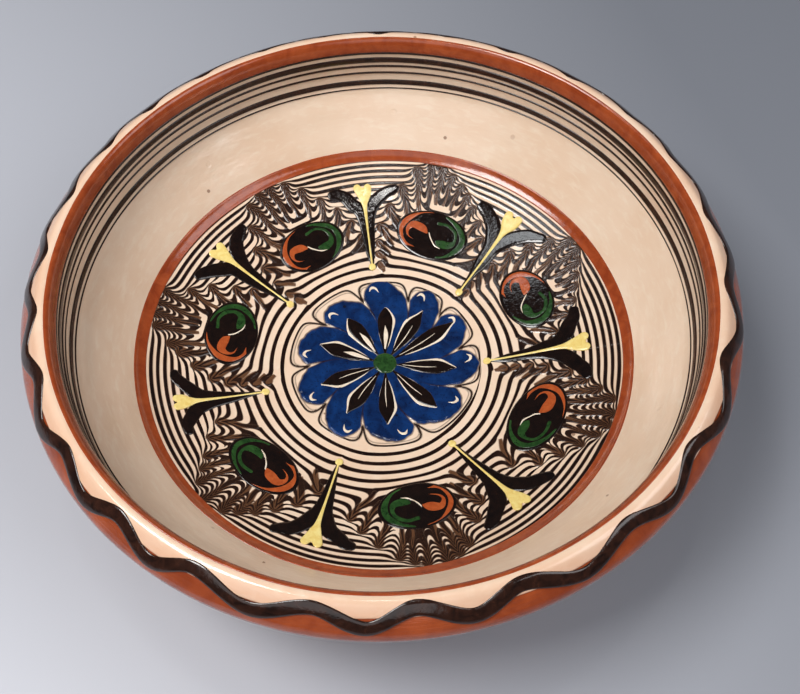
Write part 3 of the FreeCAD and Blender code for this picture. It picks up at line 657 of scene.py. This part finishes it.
def combed_material():
    """The floor's combed field: cream, a dark line and mottled strokes, told apart by masks."""
    g = Glaze("combed_slip")
    streak = g.noise(0.9, 3.0, 0.7, 1.2)
    dark = g.mix(g.curve(g.noise(3.5, 3.0), (0.40, 0.70)), BROWN_BLACK, tint(38, 20, 13))
    dark = g.mix(g.curve(g.mask("near"), (0.3, 1.0), (0.0, 0.8)), dark, tint(50, 30, 20))
    halo = g.curve(g.mask("dark"), (0.05, 0.55), (0.0, 0.8))
    colour = g.mix(halo, cream_colour(g), tint(118, 82, 62))
    colour = g.mix(g.curve(g.mask("dark"), (0.35, 0.85)), colour, dark)
    brown = g.mix(g.curve(g.mask("dark"), (0.2, 0.8)), tint(106, 72, 48), tint(34, 18, 11))
    brown = g.mix(g.curve(streak, (0.35, 0.70), (0.0, 0.55)), brown, tint(58, 34, 21))
    colour = g.mix(g.mask("mottle"), colour, brown)
    relief = g.plus(g.noise(1.2, 3.0, 0.6), g.times(streak, g.mask("mottle")))
    return g.finish(colour, (0.08, 0.22), relief, 0.08)


def flower_material():
    """The blue flower's field: speckled blue, with white and brown dragged through it."""
    g = Glaze("blue_flower_slip")
    cloud = g.curve(g.noise(6.0, 4.0, 0.6, 0.6), (0.35, 0.68))
    blue = g.mix(cloud, tint(6, 28, 68), tint(14, 52, 108))
    blue = g.speckled(blue, 0.8, 0.45, 0.65, tint(6, 14, 36))
    blue = g.speckled(blue, 2.4, 0.10, 0.8, tint(12, 14, 26))
    colour = g.mix(g.mask("blue"), cream_colour(g), blue)
    colour = g.mix(g.mask("dark"), colour, tint(40, 24, 18))
    return g.finish(colour, (0.08, 0.20), g.noise(1.4, 3.0, 0.6), 0.08)


def clay_material():
    """Red clay: glazed down to the belly, bare and turned below it, rubbed pale on the foot."""
    g = Glaze("red_clay_body")
    height = g.height()
    turning = g.noise(1.1, 3.0, 0.6, 0.0, (0.02, 0.02, 1.0))
    bare = g.mix(g.curve(turning, (0.35, 0.68)), tint(158, 86, 52), tint(184, 108, 68))
    bare = g.mix(g.curve(g.noise(14.0, 4.0, 0.6), (0.45, 0.75), (0.0, 0.6)), bare, tint(142, 74, 44))
    wear = g.curve(height, (0.0022, 0.0), (0.0, 0.55))
    bare = g.mix(wear, bare, tint(205, 150, 112))
    drip = g.times(g.noise(16.0, 3.0, 0.5), 0.016)
    glazed = g.curve(g.plus(height, drip), (0.0555, 0.0565))
    thick = g.curve(g.noise(9.0, 4.0, 0.6, 0.4), (0.35, 0.70))
    shiny = g.mix(thick, tint(138, 58, 26), tint(168, 78, 38))
    g.feed(g.shader.inputs["Base Color"], g.mix(glazed, bare, shiny))
    g.feed(g.shader.inputs["Roughness"], g.curve(glazed, (0.0, 1.0), (0.72, 0.13)))
    g.feed(g.shader.inputs["Coat Weight"], g.curve(glazed, (0.0, 1.0), (0.0, 0.6)))
    g.shader.inputs["Coat Roughness"].default_value = 0.04
    grain = g.plus(g.noise(0.7, 3.0, 0.7), g.times(turning, 2.0))
    bump = g.add("ShaderNodeBump", Strength=1.0, Distance=0.1 * MM, Height=grain)
    g.feed(g.shader.inputs["Normal"], bump.outputs[0])
    return g.material


def make_slips():
    """Every material with its slot, by the name that the builders below call it."""
    red = slip_material("red_band_slip", tint(140, 58, 26), tint(170, 80, 40), 6.0)
    brown = slip_material("brown_line_slip", BROWN_BLACK, tint(58, 32, 22), 4.0)
    black = slip_material("black_slip", tint(13, 6, 5), tint(28, 15, 10), 3.0, gloss=(0.05, 0.12))
    orange = slip_material("orange_slip", tint(156, 68, 30), tint(184, 92, 46), 2.4)
    green = slip_material("green_slip", tint(22, 50, 20), tint(46, 84, 38), 2.4, tint(16, 34, 15))
    yellow = slip_material("yellow_slip", tint(232, 202, 112), tint(246, 228, 150), 2.6)
    white = slip_material("white_slip", tint(226, 208, 184), tint(242, 230, 212), 2.0)
    return {
        "clay": (clay_material(), "red_clay"),
        "cream": (cream_material(), "cream_slip"),
        "red": (red, "red_slip"),
        "brown": (brown, "brown_slip"),
        "black": (black, "black_slip"),
        "orange": (orange, "orange_slip"),
        "green": (green, "green_slip"),
        "yellow": (yellow, "yellow_slip"),
        "white": (white, "cream_slip"),
        "combed": (combed_material(), "mottled_slip"),
        "flower": (flower_material(), "blue_slip"),
    }


# ---------------------------------------------------------------- body, coat, bands and wave

def clay_body(slips):
    """The thrown body as one closed turned section."""
    even = np.linspace(0, ALONG[-1], 40)
    inside = np.stack([np.interp(even, ALONG, SECTION[:, column]) for column in (0, 1)], -1)
    inside[0, 0] = PINHOLE
    rim = SECTION[(ALONG > along_at_radius(THROAT_RADIUS + 0.05)), :2]
    inside = np.vstack([inside[inside[:, 0] < THROAT_RADIUS - 0.02], rim])
    outside = flow([tuple(SECTION[-1, :2])] + UNDERCUT + OUTSIDE, 4)[1:]
    section = np.vstack([inside, outside])
    section[:, 1] = np.maximum(section[:, 1], 0.0)
    angle = round_angles(BODY_STEPS)
    free = (section[:, 1] > 12) * (section[:, 0] < RIM_RADIUS - 4)
    turned = 0.10 * waves(angle, 3, (2, 3, 5)) * free
    radius = section[:, 0] - np.abs(turned)
    height = section[:, 1] + 0 * angle
    loops = np.stack([radius * np.cos(angle), radius * np.sin(angle), height], -1)
    turned_loop("clay_body_turned", loops, slips["clay"], ["clay_body"])


def cream_coat(slips):
    """White slip over the inside, out to an uneven edge under the wavy line."""
    angle = round_angles(ROUND_STEPS)
    well = along_at_radius(WELL_START)
    edge = along_at_radius(COAT_EDGE) + 0.6 * waves(angle, 11, (3, 7, 12, 26, 41), 0.3)
    last = along_at_radius(COAT_FULL)
    even = np.concatenate([np.linspace(0.0005, 0.99, 12) * well, np.linspace(well, last, 70)])
    tail = last + (edge - last) * np.linspace(0.1, 1, 10)
    top_along = np.concatenate([even + 0 * angle, tail], 1)
    ripple = 0.05 * np.sin(top_along / 2.3 + 1.5 * waves(angle, 5)) * (top_along > well + 3)
    thin = np.clip((edge - top_along) / 0.5, 0, 1) ** 0.5
    top = on_section(top_along, angle, COAT * thin + ripple * thin - 0.02)
    under = on_section(top_along[:, ::-4], angle, -0.12 + 0 * angle)
    turned_loop("cream_coat", np.concatenate([top, under], 1), slips["cream"], ["cream_slip"])


def bands(slips):
    """The red bands and the dark lines that were laid on the turning dish."""
    well = [along_at_radius(radius) for radius in WELL_BAND]
    edge = [along_at_height(height) for height in EDGE_LINE]
    rim = (along_at_height(EDGE_LINE[1] - 0.1), float(along_at_radius(RIM_BAND_RADIUS)))
    turned_band("well_band_slip", *well, 0.30, 20, slips["red"], "well_band", 0.25, 0.5)
    turned_band("rim_band_slip", *rim, 0.30, 30, slips["red"], "rim_band", 0.20, 0.5)
    turned_band("rim_edge_slip", *edge, 0.28, 40, slips["brown"], "rim_edge_line", 0.15, 0.3)
    for number, (foot, width) in enumerate(WALL_LINES, start=1):
        line = (along_at_height(foot), along_at_height(foot + width))
        turned_band(f"wall_line_slip_{number}", *line, 0.35, 50 + 10 * number, slips["brown"],
                    f"wall_line_{number}", 0.22, 0.45)


def wave_line(slips):
    """The raised line that wanders round the rim, with a hand's uneven waves."""
    peaks = np.array(WAVE_PEAKS, float)
    count = len(peaks)
    lows = (peaks + np.diff(np.append(peaks, peaks[0] + 360)) * 0.52) % 360
    inner = WAVE_INNER + dice.uniform(-0.45, 0.45, count)
    outer = WAVE_OUTER + dice.uniform(-0.5, 0.35, count)
    knots = np.concatenate([peaks, lows])
    radii = np.concatenate([inner, outer])
    order = np.argsort(knots)
    knots, radii = knots[order], radii[order]
    degrees = np.linspace(0, 360, WAVE_STEPS, endpoint=False)
    after = np.searchsorted(knots, degrees) % len(knots)
    before = after - 1
    span = (knots[after] - knots[before]) % 360
    share = ((degrees - knots[before]) % 360) / span
    eased = share * share * (3 - 2 * share)
    radius = radii[before] + (radii[after] - radii[before]) * eased
    along = along_at_radius(radius)
    angle = np.radians(degrees)
    climb = (np.roll(along, -1) - np.roll(along, 1)) / 2
    arc = radius * 2 * np.pi / WAVE_STEPS
    size = np.hypot(climb, arc)
    half = WAVE_HALF_WIDTH * (1 + 0.16 * waves(angle, 60, (5, 13, 26, 37, 52), 0.3))
    across = -np.cos(np.linspace(0, np.pi, 13))
    offset = half[:, None] * across
    unevenness = 1 + 0.12 * waves(angle, 61, (9, 21, 47), 0.3)
    lift = COAT + WAVE_RISE * (1 - across ** 4) ** 0.5 * unevenness[:, None]
    lift = np.concatenate([lift, np.full((WAVE_STEPS, 11), -0.1)], 1)
    offset = np.concatenate([offset, offset[:, -2:0:-1]], 1)
    place = along[:, None] + offset * (arc / size)[:, None]
    turn = angle[:, None] - offset * (climb / size / radius)[:, None]
    loops = on_section(place, turn, lift)
    reach = np.hypot(loops[..., 0], loops[..., 1])
    loops[..., :2] *= np.minimum(1, RIM_RADIUS / reach)[..., None]
    turned_loop("rim_wave_bead", loops, slips["brown"], ["rim_wave_line"])


# ---------------------------------------------------------------- the combed floor

def stroke_paths():
    """Root, end and core width of every comb stroke, on the dish."""
    paths = []
    for (azimuth, *_), ends in zip(EYES, STROKE_ENDS):
        for across, outward in ends:
            fan = math.atan2(across / TIP_ARCH[0], (outward - TIP_ARCH[1]) / TIP_ARCH[2])
            root = (ROOT_ARCH[0] * math.sin(fan), ROOT_ARCH[1] + ROOT_ARCH[2] * math.cos(fan))
            core = 1.35 if outward < LOW_STROKE else 1.85 if across < 0 else 1.45
            end = world(across, outward, azimuth)
            paths.append((np.array(world(*root, azimuth)), np.array(end), core))
    return paths


STROKES = stroke_paths()


def undrag(x, y):
    """Where the slip at each point lay before the comb, and how deep in a stroke's core it is."""
    back_x = np.zeros_like(x)
    back_y = np.zeros_like(x)
    core = np.zeros_like(x)
    near = np.zeros_like(x)
    for root, end, width in STROKES:
        length = math.hypot(*(end - root))
        run = (end - root) / length
        along = (x - root[0]) * run[0] + (y - root[1]) * run[1]
        aside = (x - root[0]) * -run[1] + (y - root[1]) * run[0]
        aside = aside + 0.35 * np.sin(along / 2.1 + root[0])
        away = np.abs(aside)
        carried = np.clip(DRAG_SHARE * (along + 1.0), 0, DRAG_MOST)
        stop = smooth(length + 3.0, length + 0.6, along)
        reach = carried * stop * np.exp(-away / DRAG_REACH)
        back_x += run[0] * reach
        back_y += run[1] * reach
        swell = STROKE_ROOT + (width - STROKE_ROOT) * np.clip(along / length, 0, 1) ** 0.7
        blob = np.hypot((along - length) * 0.85, aside) - width * 1.35
        inside = np.where((along > 0) & (along < length), away - swell, 9.0)
        core = np.maximum(core, smooth(0.35, -0.25, np.minimum(inside, blob)))
        beside = np.exp(-(away / NEAR_REACH) ** 2)
        near = np.maximum(near, stop * smooth(-1.0, 2.5, along) * beside)
    return x - back_x, y - back_y, core, near


def unpush(x, y):
    """Undo the push of each eye's pool, and the dip at each tulip's foot, in the dark line."""
    for oval in EYES:
        azimuth, distance = oval[:2]
        u, v = local(x, y, azimuth)
        out = np.maximum(np.hypot(*in_oval(u, v, oval)), 1e-3)
        fade = np.exp(-np.clip(out - 1, 0, None) / EYE_PUSH_REACH)
        scale = 1 - EYE_PUSH * fade * (out > 0.9) / out
        x, y = world(u * scale, (v - distance) * scale + distance, azimuth)
    for azimuth, distance, _, _ in TULIPS:
        u, v = local(x, y, azimuth)
        dip = TULIP_DIP * np.exp(-np.abs(u) / 1.6) * np.exp(-((v - distance) / 3.0) ** 2)
        x, y = world(u, v + dip, azimuth)
    return x, y


def ring_pattern(x, y, near, gradient_of):
    """Dark turns of the spiral where the slip came from, softened by how far they were stretched."""
    radius = np.hypot(x, y)
    angle = np.arctan2(y, x)
    pitch = np.clip(RING_PITCH - PITCH_FALL * (radius - RING_FIRST), 1.0, None)
    past, drift = zip(*SPIRAL_DRIFT)
    number = np.log(RING_PITCH / pitch) / PITCH_FALL
    number = number + np.interp((np.degrees(angle) - SPIRAL_SEAM) % 360, past, drift)
    number = number + 0.05 * waves(angle, 70, (3, 4, 7, 11), 0.5)
    nearest = np.round(number)
    wobble = 0.10 * np.sin(radius * 1.1 + 3 * angle) * np.sin(4 * angle)
    half = 0.40 + 0.10 * pitch + wobble + 0.32 * near
    away = np.abs(number - nearest) * pitch - half
    soft = np.clip(0.20 * gradient_of(radius), 0.16, 0.9)
    return smooth(soft, -soft, away) * (nearest > -0.5)


def combed_field(number, slips):
    """One sector of the floor, from the flower to the well band, as a closed slab."""
    start = TULIPS[number - 1][0]
    end = TULIPS[number % len(TULIPS)][0]
    if end < start:
        end += 360
    radius = np.linspace(FIELD_START, WELL_START + 0.35, FIELD_ROWS)[:, None]
    angle = np.radians(np.linspace(start, end, FIELD_COLUMNS))[None, :]
    x = radius * np.cos(angle)
    y = radius * np.sin(angle)

    def gradient_of(value):
        """How fast a value on the grid changes for each millimetre."""
        by_row, by_column = np.gradient(value)
        row = radius[1, 0] - radius[0, 0]
        column = (angle[0, 1] - angle[0, 0]) * radius
        return np.hypot(by_row / row, by_column / column)

    source_x, source_y, core, near = undrag(x, y)
    source_x, source_y = unpush(source_x, source_y)
    dark = ring_pattern(source_x, source_y, near, gradient_of)
    rise = 0.10 * dark * (1 - core) + core * (0.16 + 0.10 * dark)
    fade = smooth(0, 1.2, WELL_START + 0.3 - radius)
    lift = FIELD_LIFT + rise * fade
    top = np.stack([x, y, floor_height(np.hypot(x, y), 0) + lift], -1)
    masks = {"dark": dark, "mottle": core, "near": near}
    nodes = [f"comb_strokes_{number}", "ring_lines_inner", "ring_lines_middle", "ring_lines_outer"]
    slab(f"combed_field_{number}", top, masks, slips["combed"], nodes)


def slab(name, top, masks, slip, nodes, row_steps=6, column_steps=18):
    """A closed slab under a fine grid of points, with a coarse underside that follows the floor."""
    rows, columns, _ = top.shape
    faces = [face[::-1] for face in grid_faces(rows, columns)]
    pick_rows = np.round(np.linspace(0, rows - 1, row_steps + 1)).astype(int)
    pick_columns = np.round(np.linspace(0, columns - 1, column_steps + 1)).astype(int)
    under = top[np.ix_(pick_rows, pick_columns)].copy()
    under[..., 2] = floor_height(np.hypot(under[..., 0], under[..., 1]), SLAB_FOOT)
    base = rows * columns
    wide = len(pick_columns)
    faces += [[i + base for i in face] for face in grid_faces(len(pick_rows), wide)]
    for low, high, order in ((0, 0, 1), (rows - 1, len(pick_rows) - 1, -1)):
        for k in range(column_steps):
            edge = [low * columns + c for c in range(pick_columns[k], pick_columns[k + 1] + 1)]
            foot = [base + high * wide + k + 1, base + high * wide + k]
            faces.append((edge + foot)[::order])
    for low, high, order in ((0, 0, -1), (columns - 1, wide - 1, 1)):
        for k in range(row_steps):
            edge = [r * columns + low for r in range(pick_rows[k], pick_rows[k + 1] + 1)]
            foot = [base + (k + 1) * wide + high, base + k * wide + high]
            faces.append((edge + foot)[::order])
    points = np.vstack([top.reshape(-1, 3), under.reshape(-1, 3)])
    full = {key: np.concatenate([value.ravel(), np.zeros(under.shape[0] * wide)])
            for key, value in masks.items()}
    to_mesh(name, points, faces, slip, nodes, full, (rows - 1) * (columns - 1))


# ---------------------------------------------------------------- the flower

def lobe_edge(angle):
    """Radius of the flower's scalloped edge at an angle in radians."""
    degrees = np.degrees(angle) % 360
    knots = np.array([azimuth for azimuth, _ in NOTCHES])
    reach = np.array([radius for _, radius in NOTCHES])
    before = (np.searchsorted(knots, degrees, side="right") - 1) % len(knots)
    after = (before + 1) % len(knots)
    share = ((degrees - knots[before]) % 360) / ((knots[after] - knots[before]) % 360)
    bow = np.sin(np.pi * share ** 1.5) ** 0.6
    ragged = 0.7 * waves(angle, 90, (7, 13, 23, 41, 67), 0.25)
    return NOTCH_RADIUS + (reach[before] - NOTCH_RADIUS) * bow + ragged


def flower_field(slips):
    """The blue flower with its dragged lines, as one closed disc with a pinhole in its middle."""
    radius = np.linspace(0.4, FIELD_START, FLOWER_ROWS)[None, :]
    angle = round_angles(FLOWER_STEPS)
    x = radius * np.cos(angle)
    y = radius * np.sin(angle)
    edge = lobe_edge(angle)
    blue = smooth(0.2, -0.2, radius - edge)
    dark = 0.75 * smooth(0.42, 0.12, np.abs(radius - edge - 0.15))
    cut_through = np.zeros_like(x)
    dip = np.zeros_like(x)
    for azimuth, _ in NOTCHES:
        u, v = local(x, y, azimuth)
        bend = u - 2.6 * np.sin((NOTCH_RADIUS - v) / 7.0)
        width = 0.80 * smooth(19.0, 32.0, v) ** 1.6
        gap = np.abs(bend)
        line = smooth(0.32, 0.08, np.abs(gap - width * 0.9))
        line = line * smooth(15, 24, v) * smooth(33.5, 31.5, v)
        dark = np.maximum(dark, 0.75 * line)
        fill = smooth(0.25, -0.15, gap - width * 0.9) * smooth(25, 29, v)
        cut_through = np.maximum(cut_through, fill)
        dip = np.maximum(dip, np.exp(-gap / 1.2) * (v > 0))
    blue = blue * (1 - cut_through)
    for middle, thick, weight in LOBE_LINES:
        outer = middle - 8.5 * dip
        away = np.abs(radius - outer) / np.hypot(1, 7.0 * dip)
        line = weight * smooth(thick + 0.15, thick - 0.15, away)
        dark = np.maximum(dark, line * (radius > edge + 0.3))
    rise = 0.05 + 0.34 * blue * smooth(0.0, 1.4, edge - radius) + 0.10 * dark
    lift = FIELD_LIFT + rise * smooth(0, 1, 38.6 - radius)
    top = np.stack([x, y, floor_height(radius + 0 * angle, 0) + lift], -1)
    under = top[:, [-1, FLOWER_ROWS // 2, 0]]
    under[..., 2] = floor_height(np.hypot(under[..., 0], under[..., 1]), SLAB_FOOT)
    hidden = np.zeros(under.shape[:2])
    masks = {key: np.concatenate([value, hidden], 1).ravel()
             for key, value in (("blue", blue), ("dark", dark))}
    turned_loop("blue_flower_field", np.concatenate([top, under], 1), slips["flower"],
                ["blue_flower"], masks)


def petal_outline(end, shoulder, grow, lean):
    """Signed distance to a pointed petal; grow widens it, and more on one side with lean."""
    def outline(u, v):
        share = np.clip((v - PETAL_FOOT) / (end - PETAL_FOOT), -0.2, 1.2)
        blunt = 0.62 + 0.10 * shoulder
        rising = np.clip(share / blunt, 0, 1)
        falling = np.clip((1 - share) / (1 - blunt), 0, 1)
        swell = np.sin(0.5 * np.pi * rising) ** 1.25
        close = np.sin(0.5 * np.pi * falling) ** (1.7 - 0.9 * shoulder)
        half = PETAL_HALF_WIDTH * swell * close + 0.16 * (share > 0) * (share < 1.1)
        shoulders = np.exp(-((share - 0.72) / 0.16) ** 2)
        side = grow * (1 + lean * np.sign(u) * (0.4 + 1.6 * shoulders)) * smooth(0.0, 0.35, share)
        side = side.clip(0.12, None) * smooth(1.08, 0.95, share)
        ends = np.maximum(PETAL_FOOT - v, v - end - 0.5 * grow)
        return np.maximum((np.abs(u) - half - side) * 0.9, ends)

    return outline


def petal(number, slips):
    """A dark petal with its white fringe and the light streak in it."""
    azimuth, end, shoulder = PETALS[number - 1]
    lean = FRINGE_LEAN if number % 2 else -FRINGE_LEAN
    box = (-5.5, 5.5, 3.0, end + 2.0)
    pool(f"petal_fringe_{number}", petal_outline(end, shoulder, FRINGE_WIDTH, lean), box, azimuth,
         FRINGE_PILE, slips["white"], ["petal_fringes"], PETAL_CELL)
    pool(f"petal_{number}", petal_outline(end, shoulder, 0.0, 0.0), box, azimuth,
         PETAL_PILE, slips["black"], ["flower_petals"], PETAL_CELL)
    foot, middle, top = (0.3, 0.95, 17.5) if number in BIG_STREAKS else (0.14, 0.24, 0.72 * end)
    streak = [(0, 7.0, foot), (0.3, 0.55 * top + 3.5, middle), (0, top, 0.12)]
    pool(f"petal_streak_{number}", brushed([streak]), (-2, 2.4, 6, top + 1), azimuth,
         STREAK_PILE, slips["white"], ["petal_fringes"], THREAD_CELL)


def lobe_curl(number, slips):
    """A white curl near the end of the lobe after a notch."""
    azimuth, reach = NOTCHES[number - 1]
    lobe = (NOTCHES[number % len(NOTCHES)][0] - azimuth) % 360
    top = reach - 2.4
    curl = [(2.9, top - 3.2, 0.14), (1.9, top - 1.2, 0.5), (0.3, top - 0.7, 0.62),
            (-0.9, top - 2.2, 0.14)]
    pool(f"lobe_curl_{number}", brushed([curl]), (-3, 4.5, top - 5, top + 1.5), azimuth + lobe * 0.80,
         CURL_PILE, slips["white"], ["petal_fringes"], THREAD_CELL)


def flower(slips):
    """The blue field, its petals and curls, and the green centre."""
    flower_field(slips)
    for number in range(1, len(PETALS) + 1):
        petal(number, slips)
    for number in range(1, len(NOTCHES) + 1):
        lobe_curl(number, slips)

    def centre_outline(u, v):
        return np.hypot(u, v) - CENTRE_RADIUS - 0.25 * waves(np.arctan2(v, u), 80)

    pool("flower_centre_spot", centre_outline, (-6, 6, -6, 6), 0.0, CENTRE_PILE, slips["green"],
         ["flower_centre"], STROKE_CELL)


# ---------------------------------------------------------------- peacock eyes and tulips

def eye(number, slips):
    """A dark pool with orange and green swirled into it and a white thread between them."""
    oval = EYES[number - 1]
    azimuth, distance, length, width, tilt = oval
    rng = np.random.default_rng(100 + number)

    def fitted(strokes, jitter=0.2):
        """The strokes of the model eye, scaled, leant and jittered to this eye."""
        result = []
        for points in strokes:
            rows = []
            for across, outward, half in points:
                a = across * length / EYE_SIZE[0] + rng.uniform(-jitter, jitter)
                b = (outward - EYE_MIDDLE) * width / EYE_SIZE[1] + rng.uniform(-jitter, jitter)
                rows.append((*leant(a, b, math.radians(tilt), distance), half * rng.uniform(0.95, 1.2)))
            result.append(rows)
        return result

    def ground(u, v):
        a, b = in_oval(u, v, oval)
        ragged = 0.025 * waves(np.arctan2(b, a), 110 + number)
        return (np.hypot(a, b) - 1 - ragged) * width * 1.15

    box = (-length - 2, length + 2, distance - width - 2, distance + width + 2)
    pool(f"eye_pool_{number}", ground, box, azimuth, EYE_PILE, slips["black"], [f"eye_ground_{number}"])
    for colour, strokes, pile, node in (("orange", ORANGE_STROKES, SWIRL_PILE, "eye_orange"),
                                        ("green", GREEN_STROKES, SWIRL_PILE, "eye_green"),
                                        ("white", THREAD_STROKES, THREAD_PILE, "eye_ground")):
        lines = fitted(strokes)

        def swirl(u, v, lines=lines):
            return np.maximum(brush(u, v, lines), ground(u, v) + 0.9)

        pool(f"eye_{colour}_swirl_{number}", swirl, box, azimuth, pile, slips[colour],
             [f"{node}_{number}"], STROKE_CELL)


def tulip(number, slips):
    """Two dark leaves laid first, then a yellow stem with its lobed bulb and round foot."""
    azimuth, distance, length, lean = TULIPS[number - 1]
    rng = np.random.default_rng(200 + number)

    def set_out(points, side, jitter=0.0):
        """A model stroke at this tulip's place, length and lean; side -1 mirrors it."""
        rows = []
        for across, along, half in points:
            a = side * across * length + rng.uniform(-jitter, jitter)
            b = along * length + rng.uniform(-jitter, jitter)
            rows.append((*leant(a, b, math.radians(lean), distance), half * length))
        return rows

    leaves = [set_out(LEAF_STROKE, -1, 0.5), set_out(LEAF_STROKE, 1, 0.5)]
    yellow = [set_out(STEM_STROKE, 1), set_out(BULB_LOBE, 1, 0.3), set_out(BULB_LOBE, -1, 0.3)]
    yellow.append(set_out([(0, 0, TULIP_FOOT / length), (0, 0.004, TULIP_FOOT / length)], 1))
    box = (-20, 20, distance - 3, distance + length * 1.15 + 4)
    pool(f"tulip_leaf_pair_{number}", brushed(leaves), box, azimuth, LEAF_PILE, slips["black"],
         [f"tulip_leaves_{number}"])
    pool(f"tulip_stem_bulb_{number}", brushed(yellow), box, azimuth, STEM_PILE, slips["yellow"],
         [f"tulip_yellow_{number}"], STROKE_CELL)


# ---------------------------------------------------------------- stage

def camera():
    """The view: steeply from above, over the near rim."""
    elevation = math.radians(CAMERA_ELEVATION)
    roll = math.radians(CAMERA_ROLL)
    target = Vector(CAMERA_TARGET) * MM
    back = Vector((0, -math.cos(elevation), math.sin(elevation)))
    right = Vector((1, 0, 0))
    up = back.cross(right)
    leant_right = right * math.cos(roll) + up * math.sin(roll)
    leant_up = up * math.cos(roll) - right * math.sin(roll)
    data = bpy.data.cameras.new("camera")
    data.sensor_width = CAMERA_SENSOR
    data.lens = CAMERA_LENS
    data.clip_start = 0.01
    data.clip_end = 20.0
    item = linked("camera", data)
    turn = Matrix((leant_right, leant_up, back)).transposed()
    item.matrix_world = Matrix.Translation(target + back * CAMERA_DISTANCE * MM) @ turn.to_4x4()
    bpy.context.scene.camera = item


def polar(azimuth, elevation, distance):
    """A place seen from the dish at an azimuth and elevation, in metres."""
    turn, rise = math.radians(azimuth), math.radians(elevation)
    return (distance * math.cos(rise) * math.cos(turn), distance * math.cos(rise) * math.sin(turn),
            distance * math.sin(rise))


# place and size in metres, power in watts, colour; all of them face the dish
LAMPS = {
    "window_light": (polar(198.0, 64.0, 1.0), (0.40, 0.34), 7.6, (1.0, 0.98, 0.96)),
    "lamp_overhead": ((-0.008, 0.077, 1.12), (0.06, 0.04), 0.36, (1.0, 0.98, 0.95)),
    "back_window": ((-0.28, 0.255, 0.94), (0.15, 0.12), 0.36, (0.93, 0.97, 1.0)),
    "front_fill": (polar(255.0, 42.0, 1.6), (1.4, 1.0), 4.8, (0.98, 0.98, 1.0)),
    "right_fill": (polar(345.0, 48.0, 1.5), (1.0, 0.8), 7.6, (0.98, 0.98, 1.0)),
}
LAMP_TARGET = (0.0, 0.0, 0.04)


def lamp(name, place, size, power, colour):
    data = bpy.data.lights.new(name, "AREA")
    data.shape = "RECTANGLE"
    data.size, data.size_y = size
    data.energy = power
    data.color = colour
    item = linked(name, data)
    item.location = place
    item.rotation_mode = "QUATERNION"
    item.rotation_quaternion = (Vector(place) - Vector(LAMP_TARGET)).to_track_quat("Z", "Y")


def table():
    """A pale cool table whose colour is painted darker towards the right, as painted shade where less of the
    window's light falls.
    """
    reach = 3.0
    corners = [(-reach, -reach, 0), (reach, -reach, 0), (reach, reach, 0), (-reach, reach, 0)]
    mesh = bpy.data.meshes.new("table_top")
    mesh.from_pydata(corners, [], [(0, 1, 2, 3)])
    g = Glaze("table_with_painted_shade")
    across = g.add("ShaderNodeVectorMath", Vector=g.place)
    across.operation = "DOT_PRODUCT"
    across.inputs[1].default_value = (0.95, 0.32, 0.0)
    # painted shade: the base colour ramps darker to the right in place of the window's light falling off
    painted_shade_ramp = g.curve(across.outputs["Value"], (-0.20, 0.20))
    g.feed(g.shader.inputs["Base Color"], g.mix(painted_shade_ramp, tint(192, 195, 204), tint(130, 134, 143)))
    g.shader.inputs["Roughness"].default_value = 0.45
    mesh.materials.append(g.material)
    linked("table_top", mesh)


def stage():
    """The table, the window's light from the left, two small lamps, two soft fills and a dim room."""
    table()
    for name, values in LAMPS.items():
        lamp(name, *values)
    room = bpy.data.worlds.new("room")
    room.use_nodes = True
    ground = room.node_tree.nodes["Background"]
    ground.inputs["Color"].default_value = (0.88, 0.92, 1.0, 1.0)
    ground.inputs["Strength"].default_value = 0.07
    bpy.context.scene.world = room
    bpy.context.scene.view_settings.view_transform = "Standard"


# ---------------------------------------------------------------- the whole

def build():
    slips = make_slips()
    clay_body(slips)
    cream_coat(slips)
    bands(slips)
    wave_line(slips)
    for number in range(1, len(EYES) + 1):
        combed_field(number, slips)
    flower(slips)
    for number in range(1, len(EYES) + 1):
        eye(number, slips)
        tulip(number, slips)


camera()
stage()
build()
